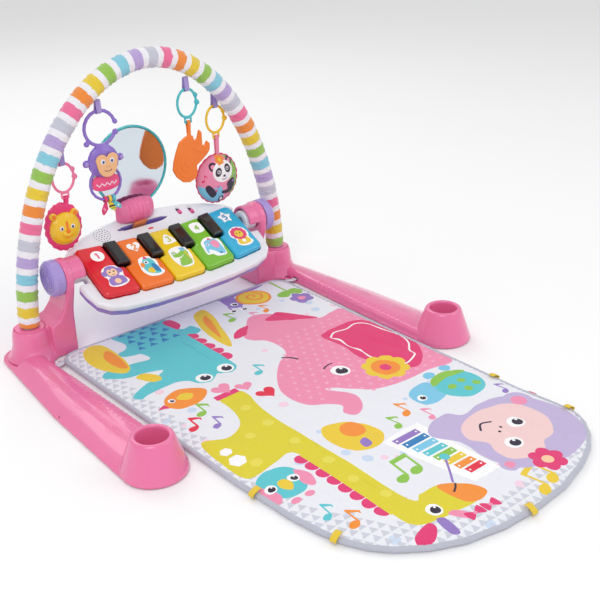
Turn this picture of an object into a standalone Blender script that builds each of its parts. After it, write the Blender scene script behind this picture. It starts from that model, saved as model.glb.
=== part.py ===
"""Baby's activity play gym.

Two low floor bases carry a fabric-covered toy arch and, between them, a tilting toy piano with five keys.
A padded play mat lies between the bases. Frame: +X right as seen from the front, +Y towards the arch,
+Z up, origin on the floor under the middle of the whole gym. All lengths are in metres.
"""

import math

import bmesh
import bpy
from mathutils import Vector

# ---- driving dimensions ----
GAP = 0.0004                    # clearance between pieces that touch on the real object

SOCKET_X, SOCKET_Y = 0.2745, 0.3883     # axis of each arch socket; the other y values follow from it
SOCKET_TOP_Z = 0.060
SOCKET_FLOOR_Z = 0.014
TUBE_RADIUS, TUBE_WALL = 0.0125, 0.0016
SLEEVE_RADIUS, SLEEVE_WALL = 0.0180, 0.0013
ARCH_CENTRE_Z, ARCH_RISE = 0.040, 0.4405    # the tube's centre line is the upper half of an ellipse

CUP_X, CUP_Y = 0.3053, SOCKET_Y - 0.432  # axis of each front cup
CUP_BASE_RADIUS, CUP_TOP_RADIUS, CUP_BORE_RADIUS = 0.0500, 0.0335, 0.0238
CUP_TOP_Z, CUP_FLOOR_Z = 0.060, 0.014
BASE_BACK_Y = SOCKET_Y + 0.050
STRAP_Y = SOCKET_Y - 0.068              # slot in the base's inner wall for the mat's webbing
BASE_BOTTOM_Z = 0.001
ARM_HEIGHT, ARM_LIP = 0.0215, 0.005
WALL = 0.003

MAT_HALF_WIDTH = 0.2507
MAT_BACK_Y, MAT_FRONT_Y = SOCKET_Y - 0.038, SOCKET_Y - 0.8588
MAT_THICKNESS = 0.012

HUB_Y, HUB_Z = SOCKET_Y - 0.018, 0.143  # axis on which the piano tilts
PIANO_TILT = math.radians(26.7)         # slope of the keyboard at rest
EAR_INNER_X, EAR_OUTER_X = 0.2030, 0.2185
EAR_RADIUS = 0.0315
HOOD_INNER_X, HOOD_INNER_RADIUS, HOOD_RADIUS = 0.1785, 0.0235, 0.0290
KNOB_INNER_X, KNOB_OUTER_X, KNOB_RADIUS = 0.2190, 0.2390, 0.0320
SHAFT_RADIUS = 0.0075

# the piano's own frame: x right, v up the slope from the hub axis, n out of the keyboard
SHELL_TOP_N, SHELL_SPLIT_N, SHELL_BOTTOM_N = 0.0020, -0.0095, -0.0385
KEY_COUNT, KEY_PITCH, KEY_GAP = 5, 0.0685, 0.0016
KEY_FRONT_V, KEY_BACK_V = -0.0910, 0.0285     # of the middle key; the row bows back towards its ends
KEY_BOW = 0.41                          # how far it bows: this times x squared
KEY_TOP_N, KEY_UNDER_N = 0.0115, -0.0035
BLACK_HALF_WIDTH, BLACK_FRONT_V, BLACK_TOP_N = 0.0120, -0.0290, 0.0178
SWITCHES = {"volume": (0.0740, 0.0675), "mode": (0.0985, 0.0605)}

GRIP_X, GRIP_V = -0.010, 0.0618         # middle of the slot behind the keys

MIRROR_X, MIRROR_Y, MIRROR_Z = -0.0120, SOCKET_Y + 0.0585, 0.2770
MIRROR_RADIUS = 0.0775
MIRROR_PIVOT_Z = 0.2010
CLIP_X, STRAP_X = -0.0165, -0.0175

LINK_HALF_WIDTH, LINK_HALF_HEIGHT, LINK_TUBE = 0.0205, 0.0258, 0.0027
BEHIND_ARCH_Y = SOCKET_Y + 0.0222       # toys whose loops are sewn to the back of the sleeve

PINK = (0.84, 0.22, 0.40)
LILAC = (0.50, 0.40, 0.75)
PURPLE = (0.22, 0.12, 0.55)
WHITE = (0.86, 0.86, 0.88)
TEAL = (0.05, 0.55, 0.55)
YELLOW = (0.85, 0.62, 0.03)
ORANGE = (0.90, 0.28, 0.04)


# ---- scene and object helpers ----
def clear_scene():
    for obj in list(bpy.data.objects):
        bpy.data.objects.remove(obj, do_unlink=True)


def material(name, colour, roughness=0.35, metallic=0.0):
    found = bpy.data.materials.get(name)
    if found:
        return found
    made = bpy.data.materials.new(name)
    made.use_nodes = True
    shader = made.node_tree.nodes["Principled BSDF"]
    shader.inputs["Base Color"].default_value = (*colour, 1.0)
    shader.inputs["Roughness"].default_value = roughness
    shader.inputs["Metallic"].default_value = metallic
    return made


def add(name, bm, mat=None, origin=(0, 0, 0), parent=None):
    """Makes an object of a closed bmesh given in its parent's space, with its own origin at `origin`."""
    origin = Vector(origin)
    bmesh.ops.recalc_face_normals(bm, faces=bm.faces)
    bmesh.ops.translate(bm, verts=bm.verts, vec=-origin)
    mesh = bpy.data.meshes.new(name)
    bm.to_mesh(mesh)
    bm.free()
    mesh.shade_smooth()
    mesh.set_sharp_from_angle(angle=math.radians(32))
    obj = bpy.data.objects.new(name, mesh)
    bpy.context.scene.collection.objects.link(obj)
    if mat:
        mesh.materials.append(mat)
    obj.location = origin
    obj.parent = parent
    return obj


def combine(obj, operation, *tools):
    """Joins tools to the object or cuts them from it. Each tool is a bmesh in the object's parent's space."""
    for number, bm in enumerate(tools):
        tool = add(f"{obj.name}_{operation.lower()}_{number}", bm, parent=obj.parent)
        tool.hide_render = True
        tool.display_type = "WIRE"
        modifier = obj.modifiers.new(f"{operation.title()} {number}", "BOOLEAN")
        modifier.operation = operation
        modifier.solver = "EXACT"
        modifier.object = tool
    return obj


def frame_empty(name, location, tilt=0.0, parent=None):
    empty = bpy.data.objects.new(name, None)
    bpy.context.scene.collection.objects.link(empty)
    empty.location = location
    empty.rotation_euler = (tilt, 0, 0)
    empty.parent = parent
    return empty


# ---- shape helpers, each returning a closed bmesh ----
def place(axis, a, b, along):
    """A point from its two cross coordinates (in X, Y, Z order) and its coordinate along the axis."""
    return {"X": (along, a, b), "Y": (a, along, b), "Z": (a, b, along)}[axis]


def loft(rings, closed=False):
    """Skin over rings with the same number of points, capped at the ends unless the rings close."""
    bm = bmesh.new()
    made = [[bm.verts.new(point) for point in ring] for ring in rings]
    pairs = list(zip(made, made[1:]))
    if closed:
        pairs.append((made[-1], made[0]))
    for low, high in pairs:
        for i in range(len(low)):
            j = (i + 1) % len(low)
            bm.faces.new((low[i], low[j], high[j], high[i]))
    if not closed:
        bm.faces.new(made[0][::-1])
        bm.faces.new(made[-1])
    return bm


def inset(outline, distance):
    """The outline moved inwards. It runs counter-clockwise."""
    moved = []
    for i, point in enumerate(outline):
        before, after = Vector(outline[i - 1]), Vector(outline[(i + 1) % len(outline)])
        here = Vector(point)
        first, second = (here - before).normalized(), (after - here).normalized()
        normal = Vector((-first.y - second.y, first.x + second.x))
        length = max(normal.length_squared / 2, 0.6)
        moved.append(tuple(here + normal * (distance / length)))
    return moved


def stacked(outline, levels, axis="Z"):
    """A solid whose cross-section at each (height, inset) level is the outline moved inwards."""
    rings = []
    for height, amount in levels:
        rings.append([place(axis, a, b, height) for a, b in inset(outline, amount)])
    return loft(rings)


def prism(outline, axis, low, high, chamfer=0.0):
    levels = [(low, 0), (high, 0)]
    if chamfer:
        levels = [(low, chamfer), (low + chamfer, 0), (high - chamfer, 0), (high, chamfer)]
    return stacked(outline, levels, axis)


def box(low, high):
    outline = [(low[0], low[1]), (high[0], low[1]), (high[0], high[1]), (low[0], high[1])]
    return prism(outline, "Z", low[2], high[2])


def turned(profile, centre, axis="Z", steps=24, closed=False):
    """Turns (radius, height) points about an axis through the centre. A closed profile makes a ring."""
    bm = bmesh.new()
    cross = [k for k in range(3) if k != "XYZ".index(axis)]
    along = "XYZ".index(axis)

    def at(radius, height, angle):
        point = [0.0, 0.0, 0.0]
        point[cross[0]] = centre[cross[0]] + radius * math.cos(angle)
        point[cross[1]] = centre[cross[1]] + radius * math.sin(angle)
        point[along] = centre[along] + height
        return bm.verts.new(point)

    rows = []
    for radius, height in profile:
        if radius == 0:
            rows.append([at(0, height, 0)] * steps)
        else:
            rows.append([at(radius, height, 2 * math.pi * k / steps) for k in range(steps)])
    pairs = list(zip(rows, rows[1:]))
    if closed:
        pairs.append((rows[-1], rows[0]))
    for low, high in pairs:
        for i in range(steps):
            j = (i + 1) % steps
            corners = []
            for vertex in (low[i], low[j], high[j], high[i]):
                if vertex not in corners:
                    corners.append(vertex)
            bm.faces.new(corners)
    return bm


def rounded_disc(centre, axis, radius, low, high, bevel, steps=24):
    profile = [(0, low), (radius - bevel, low), (radius, low + bevel), (radius, high - bevel)]
    profile += [(radius - bevel, high), (0, high)]
    return turned(profile, centre, axis, steps)


def section_frames(points, side, closed=False):
    """(point, outward) along a path that lies in the plane whose normal is `side`."""
    frames = []
    count = len(points)
    for i, point in enumerate(points):
        before = Vector(points[i - 1] if closed or i else points[0])
        after = Vector(points[(i + 1) % count] if closed or i < count - 1 else points[-1])
        frames.append((Vector(point), (after - before).normalized().cross(side)))
    return frames


def swept(points, side, section, closed=False):
    """Sweeps a section of (along side, across) offsets along a flat path."""
    side = Vector(side)
    rings = []
    for point, outward in section_frames(points, side, closed):
        rings.append([tuple(point + side * a + outward * b) for a, b in section])
    return loft(rings, closed)


def round_section(radius, sides=8):
    turns = [2 * math.pi * (k + 0.5) / sides for k in range(sides)]
    return [(radius * math.cos(t), radius * math.sin(t)) for t in turns]


def flat_section(width, thickness):
    w, t = width / 2, thickness / 2
    return [(-w, -t), (w, -t), (w, t), (-w, t)]


def pipe(points, side, outer, inner, sides):
    """An open-ended pipe along a flat path."""
    side = Vector(side)
    bm = bmesh.new()
    frames = section_frames(points, side)
    walls = []
    for radius in (outer, inner):
        rows = []
        for point, outward in frames:
            ring = round_section(radius, sides)
            rows.append([bm.verts.new(point + side * a + outward * b) for a, b in ring])
        walls.append(rows)
        for low, high in zip(rows, rows[1:]):
            for i in range(sides):
                bm.faces.new((low[i], low[i - 1], high[i - 1], high[i]))
    for end in (0, -1):
        out, inn = walls[0][end], walls[1][end]
        for i in range(sides):
            bm.faces.new((out[i], out[i - 1], inn[i - 1], inn[i]))
    return bm


def arc(centre, radius, start, stop, steps, squash=1.0):
    """Points from one angle to the other, in degrees, both ends included."""
    points = []
    for k in range(steps + 1):
        angle = math.radians(start + (stop - start) * k / steps)
        across, up = radius * math.cos(angle), radius * math.sin(angle) * squash
        points.append((centre[0] + across, centre[1] + up))
    return points


def mirrored(half):
    """A closed counter-clockwise outline from the x >= 0 half, which runs from the front to the back."""
    other = [(-x, y) for x, y in reversed(half) if x > 1e-6]
    return half + other


def ease(value, low, high):
    """0 below low, 1 above high, smooth between."""
    t = min(1.0, max(0.0, (value - low) / (high - low)))
    return t * t * (3 - 2 * t)


# ---- floor bases ----
def base_footprint(side, shrink=0.0):
    """Plan outline of one base: cup at the front, straight arm, tower at the back."""
    outline = arc((CUP_X, CUP_Y), CUP_BASE_RADIUS, 180, 360, 10)
    outline += [(0.3465, SOCKET_Y - 0.207)]
    outline += arc((0.2800, SOCKET_Y + 0.005), 0.0450, 0, 90, 5)
    outline += [(EAR_INNER_X + 0.004, BASE_BACK_Y), (EAR_INNER_X, BASE_BACK_Y - 0.004)]
    back = SOCKET_Y - 0.0330
    outline += [(EAR_INNER_X, back + 0.003), (EAR_INNER_X + 0.003, back), (0.2530, back)]
    outline += [(0.2580, back - 0.007), (0.2610, back - 0.026), (0.2675, back - 0.041)]
    outline = inset(outline, shrink)
    if side < 0:
        outline = [(-x, y) for x, y in reversed(outline)]
    return outline


def arm_section(side, y, shrink=0.0):
    """Low crowned cross-section of the arm at one y, highest near its inner edge."""
    along = (y - CUP_Y) / 0.365
    inner = 0.2580 + 0.0105 * along + shrink
    outer = 0.3545 - 0.0165 * along - 0.0090 * ease(along, 0.75, 1.15) - shrink
    top, lip = ARM_HEIGHT - shrink, ARM_LIP - shrink / 2
    low = -0.004 if shrink else BASE_BOTTOM_Z
    points = [(outer, low), (outer, lip)]
    for share in (0.06, 0.22, 0.42, 0.62, 0.78):
        crown = math.sin(math.pi / 2 * min(1.0, share / 0.72)) ** 0.9
        points.append((outer + (inner - outer) * share, lip + (top - lip) * crown))
    points += [(inner + 0.0075, top - 0.002), (inner + 0.0025, top - 0.0075), (inner, low)]
    return [(side * x, y, z) for x, z in points]


def tower_section(side, z):
    """Plan section of the tower's inner block, which narrows upwards into the ear that holds the piano."""
    scoop = min(1.0, max(0.0, (0.110 - z) / 0.050))
    outer = EAR_OUTER_X + 0.031 * (1 - math.sqrt(1 - scoop * scoop))
    front = SOCKET_Y - 0.0325 - 0.0170 * ease(z, 0.070, HUB_Z)
    back = SOCKET_Y + 0.0400 - 0.0265 * ease(z, 0.020, HUB_Z)
    if z > HUB_Z:
        half = math.sqrt(EAR_RADIUS**2 - (z - HUB_Z) ** 2)
        front, back = HUB_Y - half, HUB_Y + half
    c = 0.0025
    points = [(EAR_INNER_X, front + c), (EAR_INNER_X + c, front), (outer - c, front)]
    points += [(outer, front + c), (outer, back - c), (outer - c, back)]
    points += [(EAR_INNER_X + c, back), (EAR_INNER_X, back - c)]
    return [(side * x, y, z) for x, y in points]


def base_shell(name, side, mat):
    cup_profile = [(0, BASE_BOTTOM_Z), (CUP_BASE_RADIUS, BASE_BOTTOM_Z), (CUP_BASE_RADIUS, 0.006)]
    cup_profile += [(CUP_TOP_RADIUS, 0.0540), (0.0315, 0.0585), (0.0285, CUP_TOP_Z), (0, CUP_TOP_Z)]
    obj = add(name, turned(cup_profile, (side * CUP_X, CUP_Y, 0), steps=28), mat)

    arm = loft([arm_section(side, CUP_Y + reach) for reach in (0.002, 0.125, 0.245, 0.365, 0.405)])
    column = [(0, BASE_BOTTOM_Z), (0.0450, BASE_BOTTOM_Z), (0.0445, 0.006), (0.0385, 0.014)]
    column += [(0.0335, 0.028), (0.0310, 0.052), (0.0285, 0.0590), (0.0270, SOCKET_TOP_Z)]
    column += [(0, SOCKET_TOP_Z)]
    tower_levels = [BASE_BOTTOM_Z, 0.010, 0.020, 0.032, 0.0597, 0.068, 0.085, 0.104, 0.125, HUB_Z]
    tower_levels += [HUB_Z + EAR_RADIUS * math.sin(math.radians(a)) for a in (20, 40, 58, 72, 82)]
    slab = stacked(base_footprint(side), [(BASE_BOTTOM_Z, 0), (0.0046, 0), (0.0058, 0.0015)])
    combine(
        obj,
        "UNION",
        arm,
        slab,
        turned(column, (side * SOCKET_X, SOCKET_Y, 0), steps=28),
        loft([tower_section(side, z) for z in tower_levels]),
        hood(side),
    )
    cup_bore = [(0, CUP_FLOOR_Z), (0.0215, CUP_FLOOR_Z), (0.0226, 0.020)]
    cup_bore += [(CUP_BORE_RADIUS, 0.0575), (0.0262, CUP_TOP_Z + 0.001), (0, CUP_TOP_Z + 0.001)]
    tube_bore = [(0, SOCKET_FLOOR_Z), (0.0132, SOCKET_FLOOR_Z), (0.0132, 0.0440), (0.0262, 0.0440)]
    tube_bore += [(0.0262, SOCKET_TOP_Z + 0.001), (0, SOCKET_TOP_Z + 0.001)]
    hub_bore = [(0, 0.19), (SHAFT_RADIUS + GAP, 0.19), (SHAFT_RADIUS + GAP, 0.23), (0, 0.23)]
    recess = stacked(base_footprint(side, WALL), [(-0.004, 0), (0.0050, 0)])
    hollow = loft([arm_section(side, CUP_Y + reach, WALL) for reach in (0.055, 0.125, 0.245, 0.350)])
    strap_x = sorted((side * 0.2540, side * 0.2760))
    strap_slot = box((strap_x[0], STRAP_Y - 0.008, 0.0062), (strap_x[1], STRAP_Y + 0.008, 0.0100))
    combine(
        obj,
        "DIFFERENCE",
        turned(cup_bore, (side * CUP_X, CUP_Y, 0), steps=28),
        turned(tube_bore, (side * SOCKET_X, SOCKET_Y, 0), steps=28),
        turned([(r, side * h) for r, h in hub_bore], (0, HUB_Y, HUB_Z), "X", steps=16),
        recess,
        hollow,
        strap_slot,
    )
    return obj


def hood(side):
    """Half-round hood on the ear's inner side, over the piano's boss."""
    outline = arc((HUB_Y, HUB_Z), HOOD_RADIUS, -4, 184, 14)
    outline += arc((HUB_Y, HUB_Z), HOOD_INNER_RADIUS, 184, -4, 14)
    low, high = sorted((side * HOOD_INNER_X, side * (EAR_INNER_X + 0.002)))
    return prism(outline, "X", low, high)


def build_bases():
    pink = material("pink_gloss_plastic", PINK, 0.22)
    grey = material("grey_underside_plastic", (0.45, 0.45, 0.48), 0.5)
    rubber = material("foot_rubber", (0.12, 0.12, 0.13), 0.8)
    for side, word in ((-1, "left"), (1, "right")):
        base_shell(f"base_shell_{word}", side, pink)
        plate = stacked(base_footprint(side, WALL + 0.0005), [(0.0020, 0), (0.0045, 0)])
        add(f"base_plate_{word}", plate, grey)
        ring = [(0.0136, 0.0444), (0.0256, 0.0444), (0.0256, 0.0598), (0.0248, 0.0606), (0.0136, 0.0606)]
        collar = turned(ring, (side * SOCKET_X, SOCKET_Y, 0), steps=28, closed=True)
        add(f"socket_collar_{word}", collar, pink)
        for end, x, y in (("front", CUP_X, CUP_Y), ("back", 0.2850, SOCKET_Y - 0.007)):
            pad = rounded_disc((side * x, y, 0), "Z", 0.012, 0.0, 0.0016, 0.0004, 16)
            add(f"foot_pad_{end}_{word}", pad, rubber)


# ---- arch ----
def arch_centre(angle):
    """Centre of the arch at an angle from its right foot, in degrees."""
    turn = math.radians(angle)
    return (SOCKET_X * math.cos(turn), SOCKET_Y, ARCH_CENTRE_Z + ARCH_RISE * math.sin(turn))


def build_arch():
    along_y = (0, 1, 0)
    tube_mat = material("arch_tube_plastic", WHITE, 0.4)
    stub = [(SOCKET_X, SOCKET_Y, SOCKET_FLOOR_Z + GAP)]
    bends = [arch_centre(a) for a in (0, 4, 11, 20, 31, 43, 55, 67, 78, 84, 87, 89.6)]
    right = stub + bends
    left = [(-x, y, z) for x, y, z in reversed(right)]
    inner = TUBE_RADIUS - TUBE_WALL
    add("arch_tube_right", pipe(right, along_y, TUBE_RADIUS, inner, 10), tube_mat)
    add("arch_tube_left", pipe(left, along_y, TUBE_RADIUS, inner, 10), tube_mat)
    joint = [arch_centre(a) for a in (81, 84, 87, 90, 93, 96, 99)]
    add("arch_connector", pipe(joint, along_y, 0.0152, TUBE_RADIUS + 0.0009, 10), tube_mat)

    start = math.degrees(math.asin((SOCKET_TOP_Z + 0.0024 - ARCH_CENTRE_Z) / ARCH_RISE))
    stops = [start] + [7 + 166 * k / 26 for k in range(27)] + [180 - start]
    sleeve = pipe([arch_centre(a) for a in stops], along_y, SLEEVE_RADIUS, SLEEVE_RADIUS - SLEEVE_WALL, 12)
    add("arch_sleeve", sleeve, material("striped_sleeve_fabric", (0.75, 0.72, 0.80), 0.9))


def sleeve_underside(x):
    """Height of the sleeve's lower side straight below its centre line at x."""
    run = math.sqrt(1 - (x / SOCKET_X) ** 2)
    slope = ARCH_RISE * x / (SOCKET_X * SOCKET_X * run)
    return ARCH_CENTRE_Z + ARCH_RISE * run - SLEEVE_RADIUS * math.sqrt(1 + slope * slope)


def ribbon_loop(name, x, y, bottom, top, mat):
    """Narrow fabric loop sewn to the sleeve, which the toy's ring hangs in."""
    half = 0.0050
    path = [(x, y + a, b) for a, b in arc((0, bottom + half), half, 180, 360, 6)]
    path += [(x, y + a, b) for a, b in arc((0, top - half), half * 0.7, 0, 180, 4)]
    add(name, swept(path, (1, 0, 0), flat_section(0.009, 0.0012), closed=True), mat)


# ---- hanging toys ----
def ring_path(x, y, z, radius, steps, start=0, stop=360, squash=1.0):
    return [(a, y, b) for a, b in arc((x, z), radius, start, stop, steps, squash)]


def sphere(centre, radius, steps=10, squash=1.0):
    rings = max(3, steps // 2)
    profile = [(0, -radius * squash)]
    for k in range(1, rings):
        turn = math.pi * k / rings
        profile.append((radius * math.sin(turn), -radius * math.cos(turn) * squash))
    profile.append((0, radius * squash))
    return turned(profile, centre, "Y", steps)


def link(name, x, y, z, pivot_z, mat):
    """Plastic link: a ring with two beads on its right and a small slotted bracket below."""
    oval = ring_path(x, y, z, LINK_HALF_WIDTH, 20, squash=LINK_HALF_HEIGHT / LINK_HALF_WIDTH)[:-1]
    torus = swept(oval, (0, 1, 0), round_section(LINK_TUBE, 6), True)
    obj = add(name, torus, mat, origin=(x, y, pivot_z))
    beads = []
    for angle, radius in ((28, 0.0048), (-4, 0.0055)):
        turn = math.radians(angle)
        across, up = (LINK_HALF_WIDTH + 0.0012) * math.cos(turn), LINK_HALF_HEIGHT * math.sin(turn)
        beads.append(sphere((x + across, y, z + up), radius, 8))
    low = z - LINK_HALF_HEIGHT - 0.0110
    bracket = box((x - 0.0075, y - 0.0022, low), (x + 0.0075, y + 0.0022, z - LINK_HALF_HEIGHT + 0.001))
    combine(obj, "UNION", *beads, bracket)
    slot = box((x - 0.0052, y - 0.01, low + 0.0026), (x + 0.0052, y + 0.01, low + 0.0082))
    combine(obj, "DIFFERENCE", slot)
    return low + 0.0013


def strap_eye(x, y, bar_z, bottom):
    """Flat strap that loops through a link's slot and runs down to the toy."""
    path = [(x, y + a, b) for a, b in arc((0, bar_z), 0.0036, 0, 180, 6)]
    path += [(x, y - 0.0026, bar_z - 0.0065), (x, y - 0.0010, bottom)]
    path += [(x, y + 0.0010, bottom), (x, y + 0.0026, bar_z - 0.0065)]
    return swept(path, (1, 0, 0), flat_section(0.0080, 0.0013), closed=True)


def build_lion(x, y, link_z, face_z):
    pink = material("pink_link_plastic", (0.90, 0.35, 0.50), 0.3)
    bar = link("link_pink", x, y, link_z, link_z + LINK_HALF_HEIGHT, pink)
    tilt_x = x - 0.011
    points = 30
    outline = []
    for k in range(points):
        turn = 2 * math.pi * k / points
        reach = 1.0 if k % 2 == 0 else 0.93
        outline.append((tilt_x + 0.0345 * reach * math.cos(turn), face_z + 0.0440 * reach * math.sin(turn)))
    magenta = material("mane_soft_plastic", (0.85, 0.08, 0.25), 0.5)
    mane = add("lion_mane", prism(outline, "Y", y - 0.0045, y + 0.0045, 0.0012), magenta, origin=(x, y, bar))
    combine(mane, "UNION", strap_eye(x, y, bar, face_z + 0.041))
    profile = [(0, -0.0048), (0.0300, -0.0048), (0.0290, -0.0085), (0.0230, -0.0130)]
    profile += [(0.0120, -0.0158), (0, -0.0165)]
    dome = turned(profile, (tilt_x, y, face_z - 0.002), "Y", 20)
    face = add("lion_face", dome, material("yellow_toy_plastic", YELLOW, 0.2), origin=(x, y, bar))
    ears = []
    for side in (-1, 1):
        profile = [(0, -0.0048), (0.0072, -0.0048), (0.0062, -0.0105), (0, -0.0115)]
        ears.append(turned(profile, (tilt_x + side * 0.0200, y, face_z + 0.0240), "Y", 10))
    combine(face, "UNION", *ears)


def build_monkey(x, y, hook_z, head_z):
    purple = material("purple_toy_plastic", PURPLE, 0.25)
    pivot = (x, y, hook_z + 0.0300)
    hook = swept(ring_path(x, y, hook_z, 0.0300, 18, 12, 340), (0, 1, 0), round_section(0.0035, 6))
    obj = add("monkey_body", hook, purple, origin=pivot)
    profile = [(0, -0.0110), (0.0200, -0.0095), (0.0285, -0.0040), (0.0300, 0.0020)]
    profile += [(0.0220, 0.0085), (0, 0.0110)]
    head = turned(profile, (x, y, head_z), "Y", 18)
    ring_z = head_z - 0.0390
    arms = swept(ring_path(x, y, ring_z, 0.0300, 16)[:-1], (0, 1, 0), round_section(0.0030, 6), True)
    neck = box((x - 0.012, y - 0.0035, head_z + 0.022), (x + 0.012, y + 0.0035, hook_z - 0.027))
    tools = [head, arms, neck]
    tools.append(sphere((x + 0.0300, y, hook_z + 0.0065), 0.0052, 8))
    tools.append(sphere((x + 0.0290, y, hook_z - 0.0115), 0.0058, 8))
    tools.append(sphere((x - 0.0285, y, hook_z - 0.0235), 0.0055, 8))
    for side in (-1, 1):
        tools.append(sphere((x + side * 0.0330, y, head_z + 0.001), 0.0075, 8, 0.7))
    combine(obj, "UNION", *tools)

    heart = arc((x - 0.0105, head_z + 0.0045), 0.0115, 170, 20, 5)[::-1]
    heart = arc((x + 0.0105, head_z + 0.0045), 0.0115, 10, 150, 5) + heart
    heart += arc((x, head_z - 0.0070), 0.0185, 195, 345, 7)
    muzzle = prism(heart, "Y", y - 0.0150, y - 0.0115, 0.0008)
    add("monkey_face", muzzle, material("peach_face_plastic", (0.85, 0.45, 0.22), 0.35), origin=pivot)

    bottom = ring_z - 0.0300
    leaves = [("leaf_pink", -0.0042, 0.0270, (0.80, 0.10, 0.35)), ("leaf_yellow", 0.0042, 0.0240, YELLOW)]
    for name, shift, reach, colour in leaves:
        leaf_x, lean = x + shift, shift * 1.6
        outline = [(leaf_x + lean, bottom - reach), (leaf_x + 0.0045 + lean / 2, bottom - reach * 0.55)]
        outline += [(leaf_x + 0.0035, bottom - 0.0070), (leaf_x - 0.0035, bottom - 0.0070)]
        outline += [(leaf_x - 0.0045 + lean / 2, bottom - reach * 0.55)]
        blade = prism(outline, "Y", y - 0.0014, y + 0.0014)
        leaf = add(name, blade, material(f"{name}_fabric", colour, 0.9), origin=(x, y, bottom))
        eye = [(leaf_x, y + a, b) for a, b in arc((0, bottom), 0.0056, 0, 360, 8)][:-1]
        eye = swept(eye, (1, 0, 0), flat_section(0.0060, 0.0012), closed=True)
        neck = box((leaf_x - 0.003, y - 0.0012, bottom - 0.0085), (leaf_x + 0.003, y + 0.0012, bottom - 0.0052))
        combine(leaf, "UNION", eye, neck)


def build_teether(x, y, link_z):
    teal = material("teal_link_plastic", TEAL, 0.25)
    bar = link("link_teal", x, y, link_z, link_z + LINK_HALF_HEIGHT, teal)
    outline = [(-8, -22), (-22, -30), (-30, -46), (-37, -64), (-40, -80), (-33, -94), (-20, -106)]
    outline += [(-6, -109), (8, -104), (13, -94), (12, -80), (22, -74), (36, -64), (43, -56), (44, -44)]
    outline += [(38, -38), (33, -46), (27, -44), (27, -20), (22, -14), (17, -30), (10, -33), (7, -22)]
    outline = [(x + a / 1000, bar - 0.0030 + b / 1000) for a, b in outline]
    flat = prism(outline, "Y", y - 0.0035, y + 0.0035, 0.0010)
    obj = add("teether", flat, material("orange_silicone", ORANGE, 0.5), origin=(x, y, bar))
    combine(obj, "UNION", strap_eye(x, y, bar, bar - 0.0300))


def build_panda(x, y, link_z, centre_z):
    yellow = material("yellow_link_plastic", YELLOW, 0.25)
    bar = link("link_yellow", x, y, link_z, link_z + LINK_HALF_HEIGHT, yellow)
    radius = 0.0480
    profile = [(0, -0.0150), (0.0200, -0.0135), (0.0370, -0.0080), (radius, -0.0015)]
    profile += [(radius, 0.0015), (0.0370, 0.0080), (0.0200, 0.0135), (0, 0.0150)]
    pad_x = x - 0.0040
    pillow = turned(profile, (pad_x, y, centre_z), "Y", 22)
    obj = add("panda_pillow", pillow, material("pillow_fabric", (0.85, 0.35, 0.55), 0.9), origin=(x, y, bar))
    combine(obj, "UNION", strap_eye(x, y, bar, centre_z + radius - 0.002))


def build_toys():
    lilac = material("lilac_ribbon", LILAC, 0.9)
    ribbon_loop("toy_loop_lion", -0.1660, BEHIND_ARCH_Y, 0.3200, 0.3770, lilac)
    build_lion(-0.1660, BEHIND_ARCH_Y, 0.2988, 0.2133)
    ribbon_loop("toy_loop_monkey", -0.0980, SOCKET_Y, 0.4019, sleeve_underside(-0.0980) - 0.0030, lilac)
    build_monkey(-0.0980, SOCKET_Y, 0.3770, 0.3190)
    ribbon_loop("toy_loop_teether", 0.0820, SOCKET_Y, 0.4097, sleeve_underside(0.0820) - 0.0028, lilac)
    build_teether(0.0820, SOCKET_Y, 0.3885)
    ribbon_loop("toy_loop_panda", 0.1580, BEHIND_ARCH_Y, 0.3625, 0.4000, lilac)
    build_panda(0.1580, BEHIND_ARCH_Y, 0.3413, 0.2263)


# ---- piano ----
def piano_outline():
    """Plan of the piano's shell in its own frame, waisted at the hubs."""
    half = [(0, -0.1170), (0.080, -0.1150), (0.142, -0.1085), (0.170, -0.0990), (0.187, -0.0820)]
    half += [(0.1940, -0.0550), (0.1960, -0.0345), (0.1940, -0.0315), (0.1760, -0.0310)]
    half += [(0.1760, 0.0310), (0.1830, 0.0335), (0.1845, 0.0400), (0.1720, 0.0530), (0.1350, 0.0715)]
    half += [(0.0880, 0.0845), (0.0400, 0.0912), (0, 0.0925)]
    return mirrored(half)


def grip_outline(grow=0.0):
    """The slot behind which the carrying handle is left."""
    half_length, half_width = 0.0550 + grow, 0.0055 + grow
    steps = 8
    front, back = [], []
    for k in range(steps + 1):
        x = -half_length + 2 * half_length * k / steps
        taper = max(0.12, math.sqrt(max(0.0, 1 - (x / half_length) ** 4)))
        front.append((GRIP_X + x, GRIP_V - half_width * taper))
        back.append((GRIP_X + x, GRIP_V + half_width * taper))
    return front + back[::-1]


def bowed(points):
    return [(x, v + KEY_BOW * x * x) for x, v in points]


def key_outline(number):
    """Plan of a colour key, notched where the black keys stand."""
    middle = (number - (KEY_COUNT - 1) / 2) * KEY_PITCH
    left, right = middle - KEY_PITCH / 2 + KEY_GAP / 2, middle + KEY_PITCH / 2 - KEY_GAP / 2
    notch, notch_front = BLACK_HALF_WIDTH + 0.0012, BLACK_FRONT_V - 0.0014
    points = arc((left + 0.009, KEY_FRONT_V + 0.009), 0.009, 180, 270, 3)
    points += arc((right - 0.009, KEY_FRONT_V + 0.009), 0.009, 270, 360, 3)
    if number < KEY_COUNT - 1:
        edge = middle + KEY_PITCH / 2 - notch
        points += [(right, notch_front - 0.0030), (edge + 0.001, notch_front), (edge, notch_front + 0.001)]
        points.append((edge, KEY_BACK_V))
    else:
        points += arc((right - 0.013, KEY_BACK_V - 0.013), 0.013, 0, 90, 3)
    if number:
        edge = middle - KEY_PITCH / 2 + notch
        points += [(edge, KEY_BACK_V), (edge, notch_front + 0.001), (edge - 0.001, notch_front)]
        points.append((left, notch_front - 0.0030))
    else:
        points += arc((left + 0.013, KEY_BACK_V - 0.013), 0.013, 90, 180, 3)
    return middle, bowed(points)


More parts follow.
